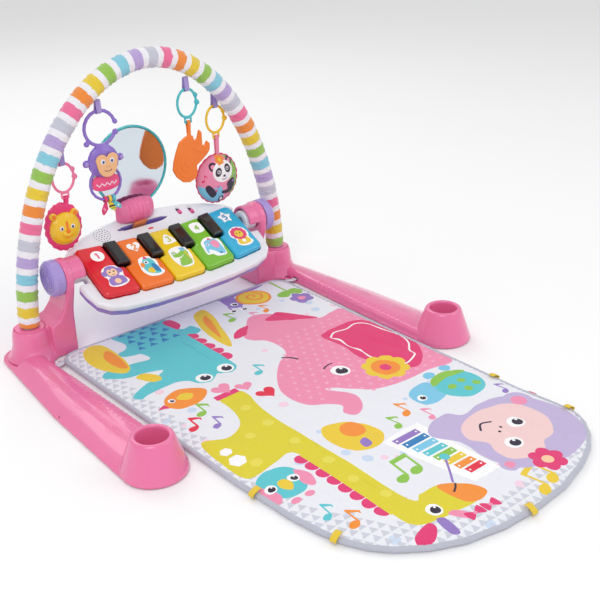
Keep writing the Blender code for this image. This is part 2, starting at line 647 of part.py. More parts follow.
def black_outline(number, grow=0.0):
    x = (number + 1 - KEY_COUNT / 2) * KEY_PITCH
    w, front, back = BLACK_HALF_WIDTH + grow, BLACK_FRONT_V - 2 * grow, KEY_BACK_V - 0.0015 + grow
    return x, bowed([(x - w, front), (x + w, front), (x + w, back), (x - w, back)])


def tray(outline, levels):
    """A dished solid: the outline shrunk towards its middle at each (height, width share, depth share)."""
    middle = -0.009
    return loft([[(x * a, middle + (v - middle) * b, n) for x, v in outline] for n, a, b in levels])


def build_piano_shells(frame):
    white = material("white_gloss_plastic", WHITE, 0.18)
    purple = material("purple_shell_plastic", PURPLE, 0.25)
    outline = piano_outline()
    levels = [(SHELL_SPLIT_N, 0.0006), (-0.0065, 0), (-0.0035, 0.0004), (0.0002, 0.0014)]
    levels.append((SHELL_TOP_N, 0.0036))
    top = add("piano_top_shell", stacked(outline, levels), white, parent=frame)
    bosses = []
    for side in (-1, 1):
        bosses.append(rounded_disc((side * 0.1885, 0, 0), "X", 0.0205, -0.0130, 0.0130, 0.0015, 20))
    combine(top, "UNION", *bosses)
    through = [(-0.02, 0), (0.02, 0)]
    windows = [stacked(inset(key_outline(number)[1], -0.0011), through) for number in range(KEY_COUNT)]
    windows += [stacked(black_outline(number, 0.0026)[1], through) for number in range(KEY_COUNT - 1)]
    windows += [switch_window(x, v) for x, v in SWITCHES.values()]
    windows.append(stacked(grip_outline(), [(-0.03, 0), (0.01, 0)]))
    shafts = []
    for side in (-1, 1):
        bore = SHAFT_RADIUS + GAP
        hole = [(0, 0.1750), (bore, 0.1750), (bore, 0.2200), (0, 0.2200)]
        shafts.append(turned([(reach, side * h) for reach, h in hole], (0, 0, 0), "X", 16))
    cavity = stacked(outline, [(-0.0300, WALL), (-0.0035, WALL), (-0.0010, 0.0040)])
    combine(top, "DIFFERENCE", cavity, *windows, *shafts)

    levels = [(SHELL_BOTTOM_N, 0.80, 0.62), (-0.0350, 0.89, 0.80), (-0.0285, 0.955, 0.93)]
    levels += [(-0.0200, 0.985, 0.98), (SHELL_SPLIT_N - GAP, 0.995, 0.99)]
    bottom = add("piano_bottom_shell", tray(outline, levels), purple, parent=frame)
    levels = [(-0.0358, 0.78, 0.60), (-0.0333, 0.86, 0.77), (-0.0280, 0.94, 0.905), (-0.0200, 0.97, 0.955)]
    levels.append((-0.0050, 0.97, 0.955))
    combine(bottom, "DIFFERENCE", tray(outline, levels))
    combine(bottom, "UNION", stacked(grip_outline(0.0030), [(-0.0365, 0), (-0.0015, 0)]))
    door = box((-0.0555, -0.0620, -0.06), (0.0555, -0.0110, -0.033))
    combine(bottom, "DIFFERENCE", stacked(grip_outline(0.0002), [(-0.06, 0), (0.01, 0)]), door)
    panel = box((-0.0550, -0.0615, SHELL_BOTTOM_N), (0.0550, -0.0115, -0.0362))
    add("battery_door", panel, purple, parent=frame)


def switch_window(x, v):
    return box((x - 0.0034, v - 0.0085, -0.02), (x + 0.0034, v + 0.0085, 0.01))


def build_piano_insides(frame):
    steel = material("battery_steel", (0.6, 0.6, 0.62), 0.3, 1.0)
    board = material("green_circuit_board", (0.02, 0.25, 0.10), 0.5)
    dark = material("speaker_paper", (0.04, 0.04, 0.05), 0.6)
    add("circuit_board", box((-0.150, -0.076, -0.0155), (0.150, 0.022, -0.0139)), board, parent=frame)
    for number in range(3):
        v = -0.0525 + 0.0160 * number
        cell = rounded_disc((0, v, -0.0278), "X", 0.0070, -0.0250, 0.0250, 0.0008, 12)
        add(f"battery_cell_{number + 1}", cell, steel, parent=frame)
    cone = [(0, -0.0145), (0.0090, -0.0145), (0.0165, -0.0070), (0.0165, -0.0045), (0.0147, -0.0045)]
    cone += [(0.0055, -0.0110), (0, -0.0110)]
    add("speaker", turned(cone, (-0.0980, 0.0600, 0), "Z", 16), dark, parent=frame)


def build_keys(frame):
    colours = {"red": (0.80, 0.02, 0.02), "orange": (0.95, 0.25, 0.01), "yellow": (0.80, 0.60, 0.0)}
    colours.update(green=(0.20, 0.62, 0.02), blue=(0.03, 0.50, 0.75))
    for number, (word, colour) in enumerate(colours.items()):
        middle, outline = key_outline(number)
        levels = [(KEY_UNDER_N, 0.0), (0.0065, 0.0), (0.0095, 0.0012), (KEY_TOP_N, 0.0042)]
        mat = material(f"{word}_key_plastic", colour, 0.15)
        hinge = (middle, KEY_BACK_V + KEY_BOW * middle * middle, KEY_UNDER_N)
        key = add(f"key_{word}", stacked(outline, levels), mat, origin=hinge, parent=frame)
        wide, narrow = KEY_PITCH / 2 - 0.0035, KEY_PITCH / 2 - BLACK_HALF_WIDTH - 0.0040
        front, neck = hinge[1] - 0.1115, hinge[1] - 0.0665
        hollows = [box((middle - wide, front, -0.02), (middle + wide, neck, 0.0070))]
        low, high = (middle - narrow, neck - 0.001, -0.02), (middle + narrow, hinge[1] - 0.014, 0.0070)
        hollows.append(box(low, high))
        combine(key, "DIFFERENCE", *hollows)
    black = material("black_key_plastic", (0.01, 0.01, 0.012), 0.12)
    rail = add("key_rail", box((-0.1660, 0.0100, -0.0130), (0.1660, 0.0270, -0.0050)), black, parent=frame)
    posts = []
    for number in range(KEY_COUNT - 1):
        x, outline = black_outline(number)
        posts.append(box((x - 0.0050, 0.0120, -0.0060), (x + 0.0050, 0.0240, 0.0043)))
        levels = [(0.0047, 0), (0.0135, 0.0), (0.0165, 0.0012), (BLACK_TOP_N, 0.0032)]
        add(f"black_key_{number + 1}", stacked(outline, levels), black, parent=frame)
    combine(rail, "UNION", *posts)
    magenta = material("magenta_switch_plastic", (0.75, 0.02, 0.20), 0.3)
    for word, (x, v) in SWITCHES.items():
        outline = [(x - 0.0030, v - 0.0080), (x + 0.0030, v - 0.0080)]
        outline += [(x + 0.0030, v + 0.0002), (x - 0.0030, v + 0.0002)]
        slider = stacked(outline, [(-0.0090, 0), (0.0030, 0), (0.0054, 0.0012)])
        add(f"switch_{word}", slider, magenta, parent=frame)


def build_hubs(frame):
    lilac = material("lilac_knob_plastic", LILAC, 0.3)
    steel = material("shaft_steel", (0.6, 0.6, 0.62), 0.3, 1.0)
    for side, word in ((-1, "left"), (1, "right")):
        shaft = [(0, 0.1760), (SHAFT_RADIUS, 0.1760), (SHAFT_RADIUS, 0.2340), (0, 0.2340)]
        shaft = turned([(r, side * h) for r, h in shaft], (0, 0, 0), "X", 16)
        add(f"pivot_shaft_{word}", shaft, steel, parent=frame)
        knob = [(0, KNOB_INNER_X), (KNOB_RADIUS - 0.001, KNOB_INNER_X), (KNOB_RADIUS, 0.2205)]
        knob += [(KNOB_RADIUS, 0.2340), (KNOB_RADIUS - 0.0040, 0.2385)]
        knob += [(KNOB_RADIUS - 0.0070, KNOB_OUTER_X), (0, KNOB_OUTER_X - 0.0010)]
        knob = turned([(r, side * h) for r, h in knob], (0, 0, 0), "X", 24)
        bore = SHAFT_RADIUS + GAP
        hole = [(0, 0.2100), (bore, 0.2100), (bore, 0.2345), (0, 0.2345)]
        hole = turned([(r, side * h) for r, h in hole], (0, 0, 0), "X", 16)
        combine(add(f"hub_knob_{word}", knob, lilac, parent=frame), "DIFFERENCE", hole)


# ---- mirror ----
def slope_point(v, n):
    """Height and depth, as (y, z), of a point of the piano's own frame at rest."""
    run, rise = math.cos(PIANO_TILT), math.sin(PIANO_TILT)
    return (HUB_Y + v * run - n * rise, HUB_Z + v * rise + n * run)


def build_mirror(frame):
    teal = material("teal_rim_plastic", (0.15, 0.50, 0.52), 0.3)
    glass = material("mirror_face", (0.85, 0.87, 0.88), 0.03, 1.0)
    pink = material("pink_gloss_plastic", PINK, 0.22)
    orange = material("orange_strap_fabric", (0.75, 0.18, 0.03), 0.9)
    centre = (MIRROR_X, MIRROR_Y, MIRROR_Z)
    pivot = (MIRROR_X, MIRROR_Y, MIRROR_PIVOT_Z)
    r = MIRROR_RADIUS
    dish = [(0, 0.0035), (r - 0.002, 0.0035), (r, 0.0015), (r, -0.0035), (r - 0.0015, -0.0048)]
    dish += [(r - 0.0040, -0.0048), (r - 0.0045, 0.0005), (0, 0.0005)]
    rim = add("mirror_rim", turned(dish, centre, "Y", 40), teal, origin=pivot)
    x = MIRROR_X
    stem = box((x - 0.0110, MIRROR_Y - 0.0030, 0.1930), (x + 0.0110, MIRROR_Y + 0.0030, 0.2040))
    combine(rim, "UNION", stem)
    disc = [(0, -0.0022), (r - 0.0052, -0.0022), (r - 0.0052, 0.0001), (0, 0.0001)]
    add("mirror_disc", turned(disc, centre, "Y", 40), glass, origin=pivot)

    half, low, high = 0.0410, 0.1715, 0.2220
    stations = []
    for k in range(15):
        share = -1 + 2 * k / 14
        bulge = math.sqrt(max(0.05, 1 - abs(share) ** 2.6))
        rib = 0.0012 if k % 2 else 0.0
        stations.append((CLIP_X + half * share, bulge, rib))
    rings = []
    for px, bulge, rib in stations:
        ring = []
        for angle in range(0, 180, 20):
            turn = math.radians(90 + angle + 10)
            reach, rise = 0.0200 * bulge + rib, (high - low) / 2 * (0.35 + 0.65 * bulge) + rib
            py, pz = MIRROR_Y - 0.0065 + reach * math.cos(turn), (low + high) / 2 + rise * math.sin(turn)
            ring.append((px, py, pz))
        rings.append(ring)
    under = [slope_point(v, n) for v, n in ((0.02, -0.08), (0.14, -0.08), (0.14, 0.0026), (0.02, 0.0026))]
    seat = prism(under, "X", CLIP_X - 0.05, CLIP_X + 0.05)
    combine(add("mirror_clip", loft(rings), pink), "DIFFERENCE", seat)
    path = [(0.0575, 0.0150), (0.0610, 0.0020), (0.0625, -0.0250), (0.0680, -0.0400), (0.0840, -0.0415)]
    path += [(0.0950, -0.0330), (0.0965, -0.0150), (0.0960, -0.0030), (0.0950, 0.0040)]
    section = flat_section(0.0290, 0.0014)
    strap = swept([(STRAP_X, v, n) for v, n in path], (1, 0, 0), section)
    add("mirror_strap", strap, orange, parent=frame)


# ---- play mat ----
def mat_outline():
    """Plan of the mat, whose rounded front swells a little further on the right."""
    right = [(0.0150, 0), (0.0850, 0.0040), (0.1480, 0.0193), (0.1900, 0.0365), (0.2215, 0.0578)]
    right += [(0.2450, 0.0845), (0.2575, 0.1140), (0.2560, 0.1540), (MAT_HALF_WIDTH, 0.2100)]
    left = [(-0.2470, 0.3200), (-0.2400, 0.2050), (-0.2330, 0.1600), (-0.2240, 0.1250), (-0.2080, 0.0930)]
    left += [(-0.1866, 0.0676), (-0.1500, 0.0395), (-0.1045, 0.0179), (-0.0450, 0.0040)]
    corner_x, corner_y = MAT_HALF_WIDTH - 0.034, MAT_BACK_Y - 0.034
    outline = [(x, MAT_FRONT_Y + y) for x, y in right]
    outline += arc((corner_x, corner_y), 0.034, 0, 90, 4) + arc((-corner_x, corner_y), 0.034, 90, 180, 4)
    return outline + [(x, MAT_FRONT_Y + y) for x, y in left]


def build_mat():
    levels = [(0, 0.0030), (0.0030, 0), (MAT_THICKNESS - 0.0035, 0), (MAT_THICKNESS, 0.0045)]
    add("play_mat", stacked(mat_outline(), levels), material("printed_mat_fabric", (0.85, 0.86, 0.90), 0.9))
    webbing = material("white_webbing", (0.75, 0.74, 0.78), 0.9)
    for side, word in ((-1, "left"), (1, "right")):
        outline = [(0.2512, STRAP_Y + 0.0160), (0.2512, STRAP_Y + 0.0060), (0.2560, STRAP_Y - 0.0060)]
        outline += [(0.2740, STRAP_Y - 0.0060), (0.2740, STRAP_Y + 0.0060), (0.2600, STRAP_Y + 0.0060)]
        if side < 0:
            outline = [(-x, y) for x, y in reversed(outline)]
        add(f"mat_strap_{word}", stacked(outline, [(0.0068, 0), (0.0086, 0)]), webbing)


def main():
    clear_scene()
    build_bases()
    build_arch()
    build_toys()
    piano_frame = frame_empty("piano_frame", (0, HUB_Y, HUB_Z), PIANO_TILT)
    build_piano_shells(piano_frame)
    build_piano_insides(piano_frame)
    build_keys(piano_frame)
    build_hubs(piano_frame)
    build_mirror(piano_frame)
    build_mat()


main()
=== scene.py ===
"""Looks of the activity play gym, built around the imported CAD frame."""
from math import asin, atan2, copysign, cos, exp, hypot, pi, radians, sin, tau

import bmesh
import bpy
import numpy as np
from mathutils import Matrix, Vector, noise
from mathutils.bvhtree import BVHTree
from mathutils.geometry import delaunay_2d_cdt


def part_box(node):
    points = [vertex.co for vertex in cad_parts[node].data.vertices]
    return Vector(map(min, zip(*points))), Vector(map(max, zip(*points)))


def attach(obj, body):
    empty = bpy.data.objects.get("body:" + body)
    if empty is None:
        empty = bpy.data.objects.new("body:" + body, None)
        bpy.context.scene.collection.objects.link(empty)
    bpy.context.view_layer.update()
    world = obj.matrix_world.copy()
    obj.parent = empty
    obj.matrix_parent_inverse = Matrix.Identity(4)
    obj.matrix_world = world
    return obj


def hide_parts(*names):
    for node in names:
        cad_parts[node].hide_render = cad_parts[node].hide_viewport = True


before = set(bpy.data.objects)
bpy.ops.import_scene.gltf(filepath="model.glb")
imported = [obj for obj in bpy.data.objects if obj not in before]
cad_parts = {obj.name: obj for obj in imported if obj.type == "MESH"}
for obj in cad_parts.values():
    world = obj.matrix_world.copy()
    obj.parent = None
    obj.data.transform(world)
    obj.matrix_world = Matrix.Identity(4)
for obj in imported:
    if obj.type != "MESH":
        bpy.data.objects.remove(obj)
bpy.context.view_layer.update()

SOCKET_X, SOCKET_Y = 0.2745, 0.3883
ARCH_Z, ARCH_RISE, SLEEVE_START_Z, SLEEVE_R = 0.040, 0.4405, 0.0626, 0.0178
HUB_Y, HUB_Z, TILT = SOCKET_Y - 0.018, 0.143, radians(26.7)
BEHIND_Y = SOCKET_Y + 0.0222
STRAP_X = -0.0175
SIDES = ((-1, "left"), (1, "right"))
MONKEY_X, TEETHER_X = -0.0980, 0.0820
STRIPES_ALONG, GATHER_PITCH, LINER_R = 37.35, 0.0098, 0.0150
BINDING_INSET = 0.0050
KEY_INK = 0.00022   # a print's height over its key
COS, SIN = cos(TILT), sin(TILT)


# ---- materials ----
def srgb(r, g, b):
    """Linear colour from 0-255 display values."""
    out = [(c / 255 / 12.92) if c / 255 <= 0.04045 else ((c / 255 + 0.055) / 1.055) ** 2.4 for c in (r, g, b)]
    return (*out, 1.0)


CACHE = {}


def base_material(name):
    mat = bpy.data.materials.new(name)
    mat.use_nodes = True
    return mat, mat.node_tree.nodes, mat.node_tree.links, mat.node_tree.nodes["Principled BSDF"]


def ramp_between(nodes, links, source, low, high):
    node = nodes.new("ShaderNodeMapRange")
    node.inputs["To Min"].default_value, node.inputs["To Max"].default_value = low, high
    links.new(source, node.inputs["Value"])
    return node.outputs["Result"]


def tinted(nodes, links, factor, colour, spread):
    """Base colour that wanders a little lighter and darker."""
    mix = nodes.new("ShaderNodeMix")
    mix.data_type = "RGBA"
    mix.inputs["A"].default_value = [c * (1 - spread) for c in colour[:3]] + [1]
    mix.inputs["B"].default_value = [min(1, c * (1 + spread * 0.7) + spread * 0.01) for c in colour[:3]] + [1]
    links.new(factor, mix.inputs["Factor"])
    return mix.outputs["Result"]


def noise_node(nodes, links, scale, detail=3.0, rough=0.5):
    coords = nodes.new("ShaderNodeTexCoord")
    node = nodes.new("ShaderNodeTexNoise")
    node.inputs["Scale"].default_value = scale
    node.inputs["Detail"].default_value = detail
    node.inputs["Roughness"].default_value = rough
    links.new(coords.outputs["Object"], node.inputs["Vector"])
    return node.outputs["Fac"]


def bump(nodes, links, height, strength, distance, shader, before=None):
    node = nodes.new("ShaderNodeBump")
    node.inputs["Strength"].default_value = strength
    node.inputs["Distance"].default_value = distance
    links.new(height, node.inputs["Height"])
    if before:
        links.new(before, node.inputs["Normal"])
    links.new(node.outputs["Normal"], shader.inputs["Normal"])
    return node.outputs["Normal"]


def plastic(name, colour, rough=0.22, coat=0.35, grain=0.02, spread=0.035, sub=0.0):
    """Moulded plastic: faint flow marks, handling haze in the gloss, fine grain."""
    if name in CACHE:
        return CACHE[name]
    mat, nodes, links, shader = base_material(name)
    broad = noise_node(nodes, links, 14, 2)
    fine = noise_node(nodes, links, 900, 2)
    haze = noise_node(nodes, links, 60, 5, 0.6)
    links.new(tinted(nodes, links, broad, colour, spread), shader.inputs["Base Color"])
    links.new(ramp_between(nodes, links, haze, rough * 0.75, rough * 1.35), shader.inputs["Roughness"])
    first = bump(nodes, links, broad, 0.05, 0.002, shader)
    bump(nodes, links, fine, grain * 4, 0.0003, shader, first)
    shader.inputs["Coat Weight"].default_value = coat
    shader.inputs["Coat Roughness"].default_value = 0.08
    if sub:
        shader.inputs["Subsurface Weight"].default_value = sub
        shader.inputs["Subsurface Scale"].default_value = 0.004
    mat.diffuse_color = colour
    CACHE[name] = mat
    return mat


def fabric(name, colour, thread=2600, rough=0.85, weave=0.35, sheen=0.25, spread=0.08):
    """Woven cloth: crossed threads, slubs and uneven dye."""
    if name in CACHE:
        return CACHE[name]
    mat, nodes, links, shader = base_material(name)
    coords = nodes.new("ShaderNodeTexCoord")
    waves = []
    for direction in ("X", "Y", "Z"):
        wave = nodes.new("ShaderNodeTexWave")
        wave.bands_direction = direction
        wave.inputs["Scale"].default_value = thread / 6
        wave.inputs["Distortion"].default_value = 0.6
        wave.inputs["Detail Scale"].default_value = 2.0
        links.new(coords.outputs["Object"], wave.inputs["Vector"])
        waves.append(wave.outputs["Fac"])
    total = nodes.new("ShaderNodeMath")
    total.operation = "ADD"
    links.new(waves[0], total.inputs[0])
    links.new(waves[1], total.inputs[1])
    again = nodes.new("ShaderNodeMath")
    again.operation = "ADD"
    links.new(total.outputs[0], again.inputs[0])
    links.new(waves[2], again.inputs[1])
    slub = noise_node(nodes, links, 260, 4, 0.6)
    links.new(tinted(nodes, links, slub, colour, spread), shader.inputs["Base Color"])
    links.new(ramp_between(nodes, links, slub, rough * 0.9, min(1, rough * 1.1)), shader.inputs["Roughness"])
    first = bump(nodes, links, again.outputs[0], weave, 0.0004, shader)
    bump(nodes, links, slub, 0.25, 0.0008, shader, first)
    shader.inputs["Sheen Weight"].default_value = sheen
    shader.inputs["Sheen Roughness"].default_value = 0.5
    mat.diffuse_color = colour
    CACHE[name] = mat
    return mat


PINK = srgb(234, 116, 164)
LILAC = srgb(166, 146, 212)
WHITE = srgb(234, 234, 241)
PURPLE = srgb(138, 108, 198)
TEAL = srgb(62, 186, 194)
YELLOW = srgb(240, 196, 30)
ORANGE = srgb(242, 124, 38)

pink = plastic("pink_gloss", PINK, 0.20, 0.4, sub=0.05)
lilac = plastic("lilac_plastic", LILAC, 0.35, 0.2)
white = plastic("white_gloss", WHITE, 0.14, 0.5)
purple = plastic("purple_gloss", PURPLE, 0.24)
magenta = plastic("magenta_soft", srgb(236, 62, 124), 0.45, 0.05, 0.08)
yellow = plastic("yellow_gloss", YELLOW, 0.18)
peach = plastic("peach_plastic", srgb(236, 182, 132), 0.4, 0.1)
teal = plastic("teal_gloss", TEAL, 0.2)
silicone = plastic("orange_silicone", ORANGE, 0.45, 0.05, 0.05)
link_pink = plastic("pink_link", srgb(246, 128, 168), 0.25)
black = plastic("black_gloss", srgb(16, 16, 20), 0.10, 0.6, spread=0.2)
magenta_plastic = plastic("magenta_plastic", srgb(238, 118, 168), 0.28, 0.3)
grey = plastic("grey_plastic", srgb(150, 150, 158), 0.5, 0.0, 0.06)
rubber = plastic("foot_rubber", srgb(52, 52, 56), 0.7, 0.0, 0.1)
KEY_COLOURS = {
    "red": srgb(222, 24, 40), "orange": srgb(244, 116, 22), "yellow": srgb(240, 204, 14),
    "green": srgb(118, 190, 40), "blue": srgb(40, 176, 220)}

CAD_MATERIALS = {
    "socket_collar_": magenta_plastic, "foot_pad_": rubber, "base_plate_": pink, "arch_tube_": white,
    "arch_connector": grey, "piano_top_shell": white, "battery_door": purple, "circuit_board": plastic(
        "board_green", srgb(20, 110, 60), 0.5), "battery_cell_": plastic("steel_can", srgb(170, 170, 176), 0.3),
    "speaker": plastic("speaker_paper", srgb(40, 40, 44), 0.8, 0.0), "key_rail": grey,
    "black_key_": black, "switch_": plastic("switch_pink", srgb(238, 96, 160), 0.25), "pivot_shaft_": grey,
    "hub_knob_": lilac, "piano_bottom_shell": purple}


def paint_nodes():
    for name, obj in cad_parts.items():
        mat = None
        for prefix, value in CAD_MATERIALS.items():
            if name.startswith(prefix):
                mat = value
        for word, colour in KEY_COLOURS.items():
            if name == f"key_{word}":
                mat = plastic(f"key_plastic_{word}", colour, 0.14, 0.5)
        if mat:
            for place in obj.material_slots:
                place.material = mat
            if not obj.material_slots:
                obj.data.materials.append(mat)


# ---- mesh helpers ----
def to_world(x, v, n):
    """World point for a point in the piano's own tilted frame."""
    return Vector((x, HUB_Y + v * COS - n * SIN, HUB_Z + v * SIN + n * COS))


def placed(name, data):
    obj = bpy.data.objects.new(name, data)
    bpy.context.scene.collection.objects.link(obj)
    return obj


def sweep_faces(count, sides, closed, caps=True):
    """Quads between the rings of points along a path, with flat ends where it is open."""
    faces = []
    for k in range(count if closed else count - 1):
        for j in range(sides):
            a, b = k * sides, ((k + 1) % count) * sides
            faces.append((a + j, a + (j + 1) % sides, b + (j + 1) % sides, b + j))
    if caps and not closed:
        faces.append(tuple(range(sides)))
        faces.append(tuple(range((count - 1) * sides, count * sides))[::-1])
    return faces


def around(pts, k, closed):
    """The points before and after point k of a path."""
    if closed:
        return pts[k - 1], pts[(k + 1) % len(pts)]
    return pts[max(k - 1, 0)], pts[min(k + 1, len(pts) - 1)]


def both_sides(faces, total):
    """The faces, and the same ones turned over on a second set of points."""
    return list(faces) + [tuple(total + i for i in f[::-1]) for f in faces]


def ink_slots(ground, shapes, picks):
    """The colours that a print needs, and each face's slot among them."""
    names = [ground] + [colour for _, colour in shapes]
    unique = sorted(set(names))
    return unique, [unique.index(names[p + 1]) for p in picks]


def poly(*points):
    return [Vector(p) for p in points]


def mesh_object(name, verts, faces, mats, picks=None, smooth=True):
    mesh = bpy.data.meshes.new(name)
    mesh.from_pydata([tuple(v) for v in verts], [], [tuple(f) for f in faces])
    for mat in mats:
        mesh.materials.append(mat)
    if picks is not None:
        mesh.polygons.foreach_set("material_index", list(picks))
    mesh.polygons.foreach_set("use_smooth", [smooth] * len(mesh.polygons))
    mesh.update()
    return placed(name, mesh)


def clean(obj, weld=None, outwards=True):
    """Joins points closer than weld, and turns a closed mesh's faces outwards."""
    bm = bmesh.new()
    bm.from_mesh(obj.data)
    if weld:
        bmesh.ops.remove_doubles(bm, verts=bm.verts, dist=weld)
    if outwards:
        bmesh.ops.recalc_face_normals(bm, faces=bm.faces)
    bm.to_mesh(obj.data)
    bm.free()
    return obj


def apply_modifiers(obj):
    graph = bpy.context.evaluated_depsgraph_get()
    mesh = bpy.data.meshes.new_from_object(obj.evaluated_get(graph))
    obj.modifiers.clear()
    obj.data = mesh


def soften(node, mat, body, voxel, rounds):
    """Stands in for a CAD node with its creases blended, as a moulding's are."""
    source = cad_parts[node]
    obj = placed(f"{node}_looks", source.data.copy())
    obj.data.materials.clear()
    obj.data.materials.append(mat)
    remesh = obj.modifiers.new("remesh", "REMESH")
    remesh.mode, remesh.voxel_size, remesh.use_smooth_shade = "VOXEL", voxel, True
    apply_modifiers(obj)
    smooth = obj.modifiers.new("smooth", "SMOOTH")
    smooth.factor, smooth.iterations = 0.5, rounds
    apply_modifiers(obj)
    for face in obj.data.polygons:
        face.use_smooth = True
        face.material_index = 0
    obj.data.materials.clear()
    obj.data.materials.append(mat)
    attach(obj, body)
    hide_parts(node)
    return obj


def spline(points, per=6, closed=True):
    """Smooth curve through 2-D points."""
    pts = [Vector(p) for p in points]
    count, out = len(pts), []
    spans = count if closed else count - 1
    for k in range(spans):
        if closed:
            a, b, c, d = (pts[(k + j) % count] for j in (-1, 0, 1, 2))
        else:
            a, b, c, d = (pts[min(max(k + j, 0), count - 1)] for j in (-1, 0, 1, 2))
        for j in range(per):
            t = j / per
            out.append(0.5 * (2 * b + (c - a) * t + (2 * a - 5 * b + 4 * c - d) * t * t
                              + (3 * b - a - 3 * c + d) * t ** 3))
    if not closed:
        out.append(pts[-1])
    return out


def circle(cx, cy, rx, ry=None, steps=28, turn=0.0):
    ry = ry or rx
    out = []
    for k in range(steps):
        a = tau * k / steps
        x, y = rx * cos(a), ry * sin(a)
        out.append(Vector((cx + x * cos(turn) - y * sin(turn),
                           cy + x * sin(turn) + y * cos(turn))))
    return out


def heart(cx, cy, size, turn=0.0):
    out = []
    for k in range(32):
        a = tau * k / 32
        x = 0.5 * sin(a) ** 3
        y = (13 * cos(a) - 5 * cos(2 * a) - 2 * cos(3 * a) - cos(4 * a)) / 32
        out.append(Vector((cx + size * (x * cos(turn) - y * sin(turn)),
                           cy + size * (x * sin(turn) + y * cos(turn)))))
    return out


def star(cx, cy, radius, inner=0.55, turn=0.0, tips=5):
    out = []
    for k in range(tips * 2):
        a = turn + pi / 2 + pi * k / tips
        r = radius * (1 if k % 2 == 0 else inner)
        out.append(Vector((cx + r * cos(a), cy + r * sin(a))))
    return out


def stroke(points, width, per=5):
    """Outline of a drawn line of even width."""
    line = spline(points, per, closed=False)
    left, right = [], []
    for k, p in enumerate(line):
        along = (line[min(k + 1, len(line) - 1)] - line[max(k - 1, 0)]).normalized()
        side = Vector((-along.y, along.x)) * width / 2
        left.append(p + side)
        right.append(p - side)
    return left + right[::-1]


def inside(points, outline):
    """Which of the points lie inside the outline (even-odd)."""
    x, y = points[:, 0], points[:, 1]
    result = np.zeros(len(points), bool)
    ring = np.array([tuple(p) for p in outline])
    px, py = ring[-1]
    for qx, qy in ring:
        if py != qy:
            crosses = (py > y) != (qy > y)
            result ^= crosses & (x < (qx - px) * (y - py) / (qy - py) + px)
        px, py = qx, qy
    return result


def painted(border, shapes, step):
    """Triangles over the border's inside, with the top shape's number for each face."""
    coords, edges = [], []

    def chain(outline):
        start = len(coords)
        coords.extend(Vector((p[0], p[1])) for p in outline)
        size = len(outline)
        edges.extend((start + k, start + (k + 1) % size) for k in range(size))

    chain(border)
    ring = np.array([tuple(p) for p in border])
    low, high = ring.min(0), ring.max(0)
    for outline, _ in shapes:
        chain(outline)
    xs = np.arange(low[0], high[0], step)
    ys = np.arange(low[1], high[1], step * 0.87)
    grid = np.array([(x + (step / 2 if j % 2 else 0), y) for j, y in enumerate(ys) for x in xs])
    grid = grid[inside(grid, border)]
    coords.extend(Vector((float(a), float(b))) for a, b in grid)
    verts, _, faces, *_ = delaunay_2d_cdt(coords, edges, [], 0, 1e-6)
    flat = np.array([tuple(v) for v in verts])
    middle = np.array([flat[list(f)].mean(0) for f in faces])
    keep = inside(middle, border)
    picks = np.full(len(faces), -1)
    for number, (outline, _) in enumerate(shapes):
        picks[inside(middle, outline)] = number
    faces = [faces[k] for k in range(len(faces)) if keep[k]]
    return flat, faces, picks[keep]


def decal(name, body, border, shapes, lift, ground, materials, step=0.004):
    """Thin printed piece, or painted shade for the speaker holes: its flat points are lifted into place by
    lift(x, y).
    """
    flat, faces, picks = painted(border, shapes, step)
    unique, slots = ink_slots(ground, shapes, picks)
    obj = mesh_object(name, [lift(x, y) for x, y in flat], faces, [materials[u] for u in unique], slots)
    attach(obj, body)
    return obj


def tube(name, path, radius, mat, body, sides=12, closed=False, up=Vector((0, 0, 1))):
    """Round tube along a path; radius may be a number or one for each point."""
    pts = [Vector(p) for p in path]
    count = len(pts)
    radii = radius if isinstance(radius, (list, tuple)) else [radius] * count
    verts = []
    for k, p in enumerate(pts):
        a, b = around(pts, k, closed)
        along = (b - a).normalized()
        side = along.cross(up)
        side = side.normalized() if side.length > 1e-6 else Vector((1, 0, 0))
        other = side.cross(along)
        for j in range(sides):
            t = tau * j / sides
            verts.append(p + radii[k] * (side * cos(t) + other * sin(t)))
    obj = clean(mesh_object(name, verts, sweep_faces(count, sides, closed), [mat]))
    if body:
        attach(obj, body)
    return obj


def band(name, path, side, width, thickness, mat, body, closed=False, edge=0.35):
    """Flat woven band along a path, a little thinner at its edges."""
    pts, side = [Vector(p) for p in path], Vector(side)
    count = len(pts)
    profile = [(-0.5, 0), (-0.46, edge), (-0.2, 0.5), (0.2, 0.5), (0.46, edge), (0.5, 0)]
    profile += [(x, -y) for x, y in profile[-2:0:-1]]
    verts, sides = [], len(profile)
    for k, p in enumerate(pts):
        a, b = around(pts, k, closed)
        out = (b - a).normalized().cross(side).normalized()
        for x, y in profile:
            verts.append(p + side * x * width + out * y * thickness)
    obj = clean(mesh_object(name, verts, sweep_faces(count, sides, closed), [mat]))
    if body:
        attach(obj, body)
    return obj


# ---- bases, piano and other mouldings ----
def build_mouldings():
    for side, word in SIDES:
        base = soften(f"base_shell_{word}", pink, "base", 0.0016, 10)
        base_details(base, side, word)


